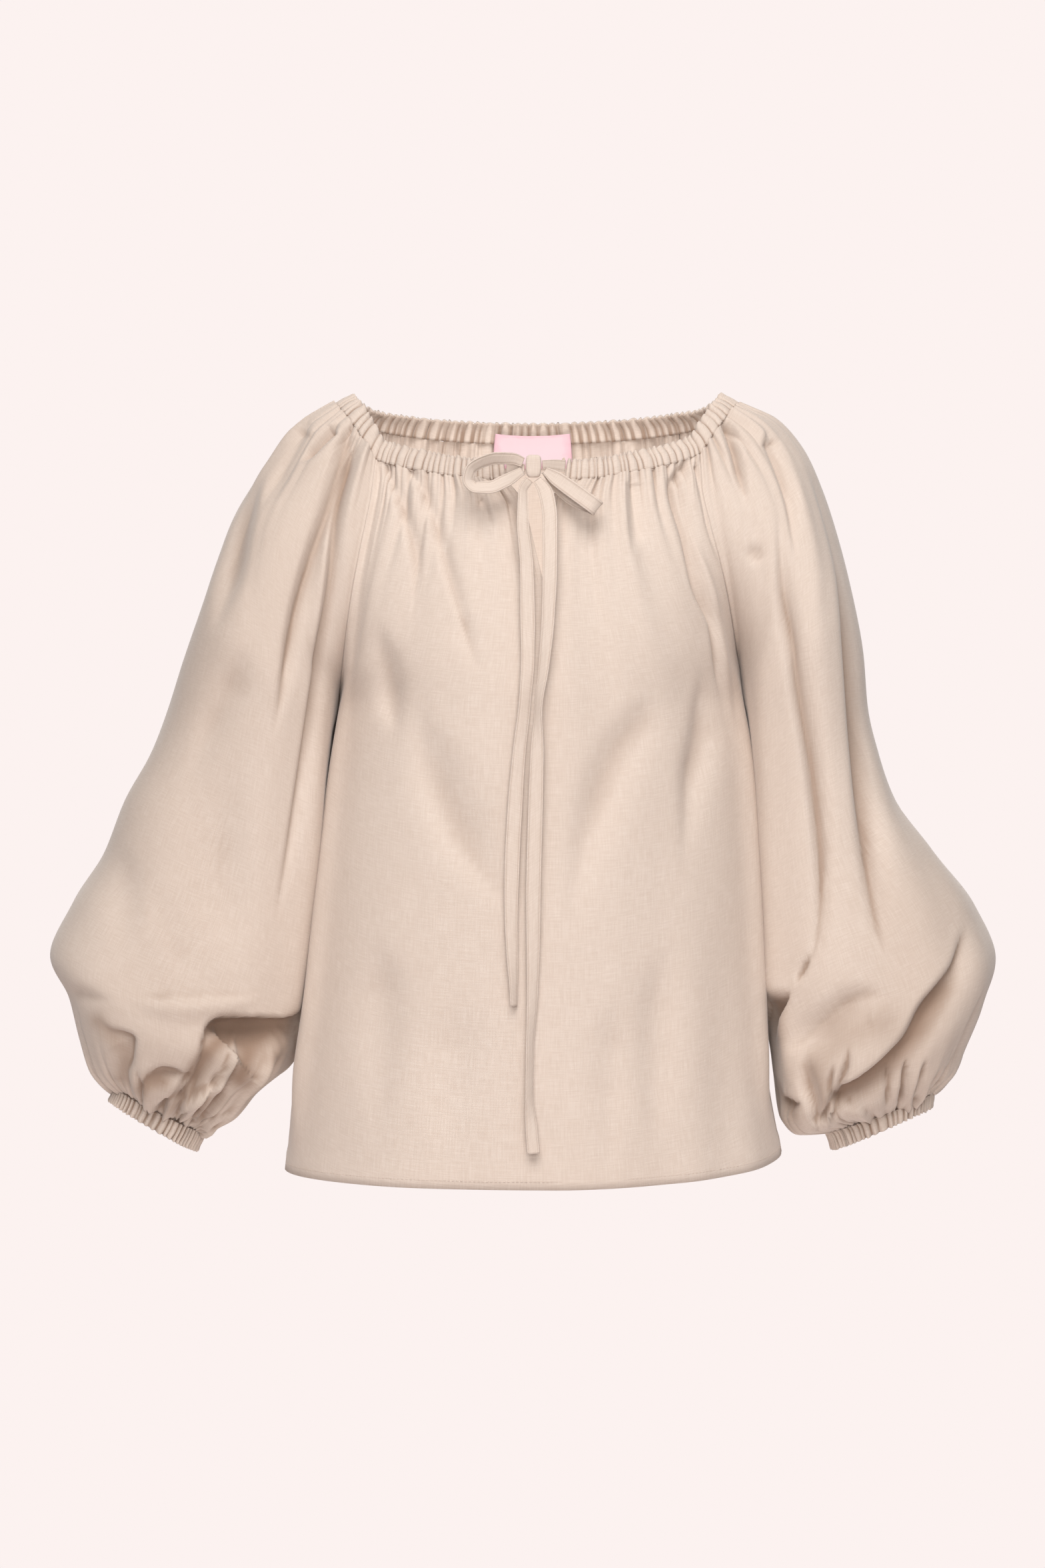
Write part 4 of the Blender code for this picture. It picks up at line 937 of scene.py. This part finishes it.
def label_finish(context):
    """A pale woven satin label, pinker towards its edges, with fine ribs across it."""
    colours = context.scene.blouse_colours
    material, tree, shader = finish("label_satin", 0.5, 0.1)
    if tree is None:
        return material
    uv = add_node(tree, "ShaderNodeUVMap", uv_map="cloth").outputs["UV"]
    split = add_node(tree, "ShaderNodeSeparateXYZ")
    tree.links.new(uv, split.inputs["Vector"])
    across = add_maths(tree, "ABSOLUTE", add_maths(tree, "MULTIPLY", split.outputs["X"], 34.0))
    down = add_maths(tree, "ABSOLUTE", add_maths(tree, "MULTIPLY_ADD", split.outputs["Y"], 80.0, 1.0))
    cloud = add_node(tree, "ShaderNodeTexNoise", Scale=140.0, Detail=2.0)
    tree.links.new(uv, cloud.inputs["Vector"])
    edge = add_maths(tree, "MAXIMUM", across, down)
    edge = add_maths(tree, "MULTIPLY_ADD", edge, 2.6, -2.5)
    edge = add_maths(tree, "ADD", edge, add_maths(tree, "MULTIPLY", cloud.outputs["Fac"], 0.9))
    colour = add_node(tree, "ShaderNodeMix", data_type="RGBA", clamp_factor=True)
    colour.inputs["A"].default_value = colours.label
    colour.inputs["B"].default_value = colours.label_edge
    tree.links.new(edge, colour.inputs["Factor"])
    tree.links.new(colour.outputs["Result"], shader.inputs["Base Color"])
    ribs = add_node(tree, "ShaderNodeTexWave", bands_direction="Y", Scale=WAVE_BAND / (0.4 * MM))
    tree.links.new(uv, ribs.inputs["Vector"])
    bump = add_node(tree, "ShaderNodeBump", Strength=0.3, Distance=0.05 * MM)
    tree.links.new(ribs.outputs["Fac"], bump.inputs["Height"])
    tree.links.new(bump.outputs["Normal"], shader.inputs["Normal"])
    return material


# Each panel as it was cut: its width and length, and the area left between its raglan curves, in metres.
Cut = namedtuple("Cut", "width length area")


class BLOUSE_OT_front_and_back(bpy.types.Operator):
    """Makes the gathered front, with its neck slit, and the gathered back"""

    bl_idname = "blouse.front_and_back"
    bl_label = "Front and back"

    def execute(self, context):
        for node in ("front_panel", "back_panel"):
            points, _, at, flat, shade = cloth_sheet(node)
            slit_rows, sides = 0, None
            if node == "front_panel":
                slit_rows = int(np.searchsorted(at, SLIT_END))
                sides = [beside_slit(at[:, None], points[..., 0], side) for side in (-1, 1)]
            mesh = grid_mesh(node, points, flat, shade, slit_rows, sides)
            name = node.replace("panel", "cloth")
            piece = new_piece(context, name, mesh, linen_finish(context), node)
            thicken(piece, context.scene.blouse_cloth.wall)
        return {"FINISHED"}


class BLOUSE_OT_sleeves(bpy.types.Operator):
    """Makes the two balloon sleeves, gathered at the neck and into the cuffs"""

    bl_idname = "blouse.sleeves"
    bl_label = "Sleeves"

    def execute(self, context):
        for node in ("sleeve_right", "sleeve_left"):
            points, _, _, flat, shade = cloth_sheet(node)
            mesh = grid_mesh(node, points, flat, shade)
            name = node.replace("sleeve", "sleeve_cloth")
            piece = new_piece(context, name, mesh, linen_finish(context), node)
            thicken(piece, context.scene.blouse_cloth.wall)
        return {"FINISHED"}


# The neck casing runs round the neck in turns: 0 at the slit, round the wearer's left, to 4 at the slit.
RING = (
    ("front_panel", 0.0, 1.0, 230),
    ("sleeve_left", -1.0, 1.0, 220),
    ("back_panel", -1.0, 1.0, 400),
    ("sleeve_right", -1.0, 1.0, 220),
    ("front_panel", -1.0, 0.0, 230),
)
# The ends of the casing that lie over the front, and on which side of the slit.
CASING_ENDS = ((slice(None, RING[0][3]), 1), (slice(-RING[-1][3] - 1, None), -1))
CASING_ROWS = 16
NECK_RIDGES, CUFF_RIDGES = 2.1, 2.3  # height of the gathers over each casing


@lru_cache
def neck_casing_sheet():
    """The casing's surface as one strip from slit to slit, its ridges running on into the gathers below."""
    at = np.linspace(-1.0, 0.0, CASING_ROWS + 1)[:, None]
    parts, ridges = [], []
    for node, start, end, steps in RING:
        across = np.linspace(start, end, steps + 1)[None, :]
        if node != RING[-1][0] or start == 0.0:
            across = across[:, :-1]
        ridge, height, _ = gather_ridges(NECK_GATHERS[node], across)
        parts.append(POINTS[node](at, across))
        ridges.append((ridge - RIDGE_LEVEL) * (0.35 + height))
    return np.concatenate(parts, axis=1), np.concatenate(ridges, axis=1), at


def casing_relief(base, ridges, at_share, height):
    """Gathers over a casing, drawn tight along its middle, ruffled at its free edge, and swollen between."""
    normals = outward_normals(base)
    free = np.exp(-((at_share / 0.22) ** 2))
    sewn = np.exp(-(((1.0 - at_share) / 0.16) ** 2))
    relief = ridges * height * (0.8 + 0.7 * free) + CASING_PUFF * np.sin(np.pi * at_share) - 0.5 * sewn
    return base + normals * relief[..., None], normals


def casing_shade(ridges, at_share):
    """The shade painted between a casing's ridges, and along its stitched edge."""
    return np.clip(-2.4 * ridges * (0.6 + 0.6 * at_share) + 0.5 * fade_in((at_share - 0.9) / 0.1), 0.0, 1.0)


class BLOUSE_OT_neck_casing(bpy.types.Operator):
    """Makes the gathered casing round the neck, open at the slit"""

    bl_idname = "blouse.neck_casing"
    bl_label = "Neck casing"

    def execute(self, context):
        base, ridges, at = neck_casing_sheet()
        share = at + 1.0
        points, _ = casing_relief(base, ridges, share, NECK_RIDGES)
        points[..., 2] += 0.9 * ridges * np.exp(-((share / 0.3) ** 2))
        for part, side in CASING_ENDS:
            points[:, part, 0] = beside_slit(at, points[:, part, 0], side)
        length = arc_lengths(base, 1)
        flat = np.stack([length * 1.6, -arc_lengths(base, 0)], axis=-1)
        mesh = grid_mesh("neck_casing", points, flat, casing_shade(ridges, share))
        piece = new_piece(context, "neck_casing_cloth", mesh, linen_finish(context), "neck_casing")
        thicken(piece, CASING_WALL * MM)
        return {"FINISHED"}


@lru_cache
def cuff_sheet(node):
    """The surface of a cuff, its ridges and the share of the way to its end."""
    at = np.linspace(2.0, 3.0, CASING_ROWS + 1)[:, None]
    across = np.linspace(-1.0, 1.0, 6 * CUFF_GATHERS[node].count + 1)[None, :]
    ridge, height, _ = gather_ridges(CUFF_GATHERS[node], across)
    return POINTS[node](at, across), (ridge**2 - 0.5) * (0.5 + height), at - 2.0


class BLOUSE_OT_cuffs(bpy.types.Operator):
    """Makes the two gathered elastic cuffs"""

    bl_idname = "blouse.cuffs"
    bl_label = "Cuffs"

    def execute(self, context):
        for side in ("right", "left"):
            base, ridges, share = cuff_sheet("sleeve_" + side)
            points, _ = casing_relief(base, ridges, 1.0 - share, CUFF_RIDGES)
            points[..., 2] -= 0.6 * ridges * np.exp(-(((1.0 - share) / 0.3) ** 2))
            flat = np.stack([arc_lengths(base, 1) * 2.4, -arc_lengths(base, 0)], axis=-1)
            mesh = grid_mesh("cuff_" + side, points, flat, casing_shade(ridges, 1.0 - share))
            name, node = "cuff_cloth_" + side, "cuff_" + side
            piece = new_piece(context, name, mesh, linen_finish(context), node)
            thicken(piece, CASING_WALL * MM)
        return {"FINISHED"}


def tie_line(stations, steps):
    """Points of a tie's middle line, the way it runs, its twist and its width, at even steps."""
    places = np.arange(len(stations), dtype=float)
    wanted = np.linspace(0.0, len(stations) - 1.0, steps)
    columns = zip(*stations)
    values = np.stack([smooth_curve(places, column, wanted) for column in columns], axis=1)
    line = values[:, :3]
    ahead = np.gradient(line, axis=0)
    ahead /= np.linalg.norm(ahead, axis=1, keepdims=True)
    return line, ahead, np.radians(values[:, 3]), values[:, 4]


def tie_sheet(tie, steps, columns):
    """A tie as a narrow sheet, its two sewn edges a little thicker than its middle, with shade painted just
    inside them.
    """
    line, ahead, twist, width = tie_line(tie.stations, steps)
    reference = (0.0, -1.0, 0.0) if tie.wide_along is None else tie.wide_along
    across = np.cross(ahead, reference) if tie.wide_along is None else np.broadcast_to(reference, ahead.shape)
    across = across - ahead * np.sum(across * ahead, axis=1, keepdims=True)
    across = across / np.linalg.norm(across, axis=1, keepdims=True)
    side = across * np.cos(twist)[:, None] + np.cross(across, ahead) * np.sin(twist)[:, None]
    thick = np.cross(ahead, side)
    share = np.linspace(-1.0, 1.0, columns + 1)
    lift = 0.35 * np.exp(-(((np.abs(share) - 0.8) / 0.16) ** 2))
    points = line[:, None] + side[:, None] * (width[:, None] / 2 * share)[..., None]
    points = points + thick[:, None] * lift[None, :, None]
    run = arc_lengths(points, 0)
    # Painted shade in a thin line just inside each raised, sewn edge.
    seam = np.exp(-(((np.abs(share) - 0.76) / 0.06) ** 2)) * 0.5
    flat = np.stack([share * TIE_WIDTH / 2 + 0.0 * run, -run], axis=-1)
    return points, flat, np.broadcast_to(seam, run.shape), line


class BLOUSE_OT_ties(bpy.types.Operator):
    """Makes the tie: two hanging tails, the two loops of the bow, its knot and the leads into the casing"""

    bl_idname = "blouse.ties"
    bl_label = "Tie and bow"

    def execute(self, context):
        material = linen_finish(context)
        for tie in TIES:
            steps = tie.steps * 5
            points, flat, seam, line = tie_sheet(tie, steps, TIE_COLUMNS)
            mesh = grid_mesh(tie.node, points, flat, seam)
            piece = new_piece(context, tie.node + "_cloth", mesh, material, tie.node)
            thicken(piece, TIE_WALL * MM, 0.0)
        self.make_knot(context, material)
        return {"FINISHED"}

    def make_knot(self, context, material):
        """The wrapped middle of the bow, a rounded block with the creases of the turn round it."""
        low, high = (np.array(corner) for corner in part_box("bow_knot"))
        middle, half = (low + high) / 2.0, (high - low) / 2.0
        work = bmesh.new()
        bmesh.ops.create_cube(work, size=2.0)
        bmesh.ops.subdivide_edges(work, edges=work.edges[:], cuts=KNOT_CUTS, use_grid_fill=True)
        uv = work.loops.layers.uv.new("cloth")
        for vert in work.verts:
            x, y, z = vert.co
            rim = (abs(x) ** 5 + abs(y) ** 5 + abs(z) ** 5) ** 0.2
            place = np.array((x, y, z)) / rim
            narrow = 0.93 - 0.10 * place[2] ** 2 + 0.05 * place[2]
            fold = 1.0 + 0.035 * math.sin(7.5 * place[0] + 1.2 * place[2]) * (1.0 - place[0] ** 2)
            scale = np.array((narrow, fold, 1.0))
            vert.co = middle + half * place * scale
        for face in work.faces:
            face.smooth = True
            for loop in face.loops:
                loop[uv].uv = (loop.vert.co.x, loop.vert.co.z)
        bmesh.ops.recalc_face_normals(work, faces=work.faces[:])
        mesh = mesh_from(work, "bow_knot")
        knot = new_piece(context, "bow_knot_cloth", mesh, material, "bow_knot")


class BLOUSE_OT_label(bpy.types.Operator):
    """Makes the bare woven label inside the back of the neck"""

    bl_idname = "blouse.label"
    bl_label = "Label"

    def execute(self, context):
        at = np.linspace(-0.42, 0.13, 15)[:, None]
        middle = POINTS["back_panel"](np.zeros((1, 2)), np.array([[0.0, 0.01]]))
        step = np.linalg.norm(middle[0, 1] - middle[0, 0]) / 0.01
        across = np.linspace(1.0, -1.0, 45)[None, :] * LABEL_HALF_WIDTH / step
        base = POINTS["back_panel"](at, across)
        normals = outward_normals(base)
        sag = (1.0 - (across * step / LABEL_HALF_WIDTH) ** 2) * np.linspace(1.4, 0.0, 15)[:, None]
        points = base + normals * (LABEL_LIFT + 0.25 * np.sin(across * step * 0.35))[..., None]
        points[..., 2] -= sag
        flat = np.stack([across * step + 0.0 * at, -arc_lengths(base, 0)], axis=-1)
        mesh = grid_mesh("neck_label", points, flat, np.zeros(points.shape[:2]))
        label = new_piece(context, "neck_label_cloth", mesh, label_finish(context), "neck_label")
        thicken(label, LABEL_WALL * MM)
        return {"FINISHED"}


def stitch_row(work, line, outward, length):
    """Stitches along a line of points: short rounded threads lying on the cloth."""
    run = np.concatenate([[0.0], np.cumsum(np.linalg.norm(np.diff(line, axis=0), axis=1))])
    half = STITCH_THICKNESS / 2 * MM
    for start in np.arange(0.6, run[-1] - length, length * (1.0 + STITCH_GAP)):
        ends = [np.array([np.interp(place, run, row) for row in line.T]) for place in (start, start + length)]
        normal = Vector([np.interp(start + length / 2, run, values) for values in outward.T]).normalized()
        along = Vector(ends[1] - ends[0]).normalized()
        side = normal.cross(along).normalized()
        turn = Matrix((along, side, normal)).transposed().to_4x4()
        size = Matrix.Diagonal((length / 2 * MM, half, half, 1.0))
        middle = Vector((ends[0] + ends[1]) / 2) + normal * STITCH_THICKNESS * 0.2
        matrix = Matrix.Translation(middle * MM) @ turn @ size
        bmesh.ops.create_uvsphere(work, u_segments=6, v_segments=4, radius=1.0, matrix=matrix)


def moved_front(points, at):
    """Points of the front on both sides of the slit, where they lie once it is open."""
    points = points.copy()
    side = np.where(points[..., 0] < 0.0, -1, 1)
    points[..., 0] = beside_slit(at, points[..., 0], side)
    return points


class BLOUSE_OT_stitching(bpy.types.Operator):
    """Sews the hem, the casings and the slit"""

    bl_idname = "blouse.stitching"
    bl_label = "Stitching"

    def execute(self, context):
        length = context.scene.blouse_cloth.stitch_length / MM
        material = thread_finish(context)
        rows = {"hem_stitches": [], "neck_stitches": [], "cuff_stitches": [], "slit_stitches": []}
        for node in ("front_panel", "back_panel"):
            points, normals, at, flat, _ = cloth_sheet(node)
            edge = np.abs(flat[:, 0, 1] - flat[-1, 0, 1])
            row = int(np.argmin(np.abs(edge - HEM_STITCHES)))
            rows["hem_stitches"].append((points[row, 2:-2], normals[row, 2:-2], length))
            if node == "front_panel":
                moved = moved_front(points, at[:, None])
                end = int(np.searchsorted(at, SLIT_END))
                middle = points.shape[1] // 2
                for column in (middle - 3, middle + 3):
                    rows["slit_stitches"].append((moved[2:end, column], normals[2:end, column], length))
        base, ridges, at = neck_casing_sheet()
        points, normals = casing_relief(base, ridges, at + 1.0, NECK_RIDGES)
        line = points[-2].copy()
        for part, side in CASING_ENDS:
            line[part, 0] = beside_slit(at[-2], line[part, 0], side)
        rows["neck_stitches"].append((line, normals[-2], length * 0.8))
        for node in CUFF_GATHERS:
            base, ridges, share = cuff_sheet(node)
            points, normals = casing_relief(base, ridges, 1.0 - share, CUFF_RIDGES)
            rows["cuff_stitches"].append((points[1], normals[1], length * 0.7))
        for name, lines in rows.items():
            work = bmesh.new()
            for line, outward, long in lines:
                stitch_row(work, line, outward, long)
            for face in work.faces:
                face.smooth = True
            new_piece(context, name, mesh_from(work, name), material)
        return {"FINISHED"}


class BLOUSE_OT_camera(bpy.types.Operator):
    """Places the camera straight in front of the blouse"""

    bl_idname = "blouse.camera"
    bl_label = "Camera"

    def execute(self, context):
        lens = bpy.data.cameras.new("camera")
        lens.lens = LENS
        camera = placed(context, "camera", lens)
        camera.location = (CAMERA_X, -context.scene.blouse_studio.distance, CAMERA_Z)
        camera.rotation_euler = (math.radians(90.0), 0.0, 0.0)
        context.scene.camera = camera
        return {"FINISHED"}


# Square area lights: where each stands, what it points at, its size and its share of the key light's power.
AreaLight = namedtuple("AreaLight", "name place target size share")
MIDDLE = (0.0, 0.0, -0.3)
LIGHTS = [
    AreaLight("key_light", (-0.12, -2.6, 2.3), MIDDLE, 2.4, 1.0),
    AreaLight("front_light", (0.1, -3.3, 0.0), MIDDLE, 1.2, 0.28),
    AreaLight("back_light", (0.0, 2.9, 1.4), MIDDLE, 2.4, 0.55),
    AreaLight("neck_light", (0.0, -0.06, -0.20), (0.0, 0.08, -0.03), 0.12, 0.0018),
]


class BLOUSE_OT_studio(bpy.types.Operator):
    """Lays the pale floor, lights the blouse softly from in front and sets the backdrop's colour"""

    bl_idname = "blouse.studio"
    bl_label = "Studio"

    def execute(self, context):
        studio = context.scene.blouse_studio
        work = bmesh.new()
        bmesh.ops.create_circle(work, cap_ends=True, segments=96, radius=FLOOR_RADIUS)
        for vert in work.verts:
            vert.co.z = FLOOR_LEVEL
        floor = placed(context, "floor", mesh_from(work, "floor"))
        material, _, shader = finish("floor_paper", 0.9, 0.0)
        shader.inputs["Base Color"].default_value = studio.backdrop
        floor.data.materials.append(material)
        for area_light in LIGHTS:
            lamp = bpy.data.lights.new(area_light.name, "AREA")
            lamp.size = area_light.size
            lamp.energy = studio.key_power * area_light.share
            lamp.color = WARM_WHITE
            light = placed(context, area_light.name, lamp)
            light.location = area_light.place
            light.visible_camera = False
            aim = Vector(area_light.target) - Vector(area_light.place)
            light.rotation_euler = aim.to_track_quat("-Z", "Y").to_euler()
        world = bpy.data.worlds.new("studio")
        context.scene.world = world
        world.use_nodes = True
        tree = world.node_tree
        behind = tree.nodes["Background"]
        behind.inputs["Color"].default_value = studio.backdrop
        around = add_node(tree, "ShaderNodeBackground", Strength=studio.fill_strength)
        around.inputs["Color"].default_value = SOFT_WHITE
        seen = add_node(tree, "ShaderNodeLightPath")
        mix = add_node(tree, "ShaderNodeMixShader")
        tree.links.new(seen.outputs["Is Camera Ray"], mix.inputs[0])
        tree.links.new(around.outputs["Background"], mix.inputs[1])
        tree.links.new(behind.outputs["Background"], mix.inputs[2])
        tree.links.new(mix.outputs["Shader"], tree.nodes["World Output"].inputs["Surface"])
        context.scene.view_settings.view_transform = "Standard"
        return {"FINISHED"}


OPERATORS = (
    BLOUSE_OT_camera,
    BLOUSE_OT_ties,
    BLOUSE_OT_front_and_back,
    BLOUSE_OT_sleeves,
    BLOUSE_OT_neck_casing,
    BLOUSE_OT_cuffs,
    BLOUSE_OT_label,
    BLOUSE_OT_stitching,
    BLOUSE_OT_studio,
)


class BLOUSE_PT_panel(bpy.types.Panel):
    """The blouse's sizes, colours and pieces in the sidebar"""

    bl_label = "Peasant blouse"
    bl_idname = "BLOUSE_PT_panel"
    bl_space_type = "VIEW_3D"
    bl_region_type = "UI"
    bl_category = "Blouse"

    def draw(self, context):
        for group in (context.scene.blouse_cloth, context.scene.blouse_colours, context.scene.blouse_studio):
            for name in group.bl_rna.properties.keys()[2:]:
                self.layout.prop(group, name)
        for operator in OPERATORS:
            self.layout.operator(operator.bl_idname)


GROUPS = {"blouse_cloth": BlouseCloth, "blouse_colours": BlouseColours, "blouse_studio": BlouseStudio}


def register():
    for group in (*GROUPS.values(), *OPERATORS, BLOUSE_PT_panel):
        bpy.utils.register_class(group)
    for name, group in GROUPS.items():
        setattr(bpy.types.Scene, name, PointerProperty(type=group))


def unregister():
    for name in GROUPS:
        delattr(bpy.types.Scene, name)
    for group in (BLOUSE_PT_panel, *reversed(OPERATORS), *GROUPS.values()):
        bpy.utils.unregister_class(group)


def main():
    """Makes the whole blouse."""
    register()
    for operator in OPERATORS:
        group, name = operator.bl_idname.split(".")
        getattr(getattr(bpy.ops, group), name)()


if __name__ == "__main__":
    main()
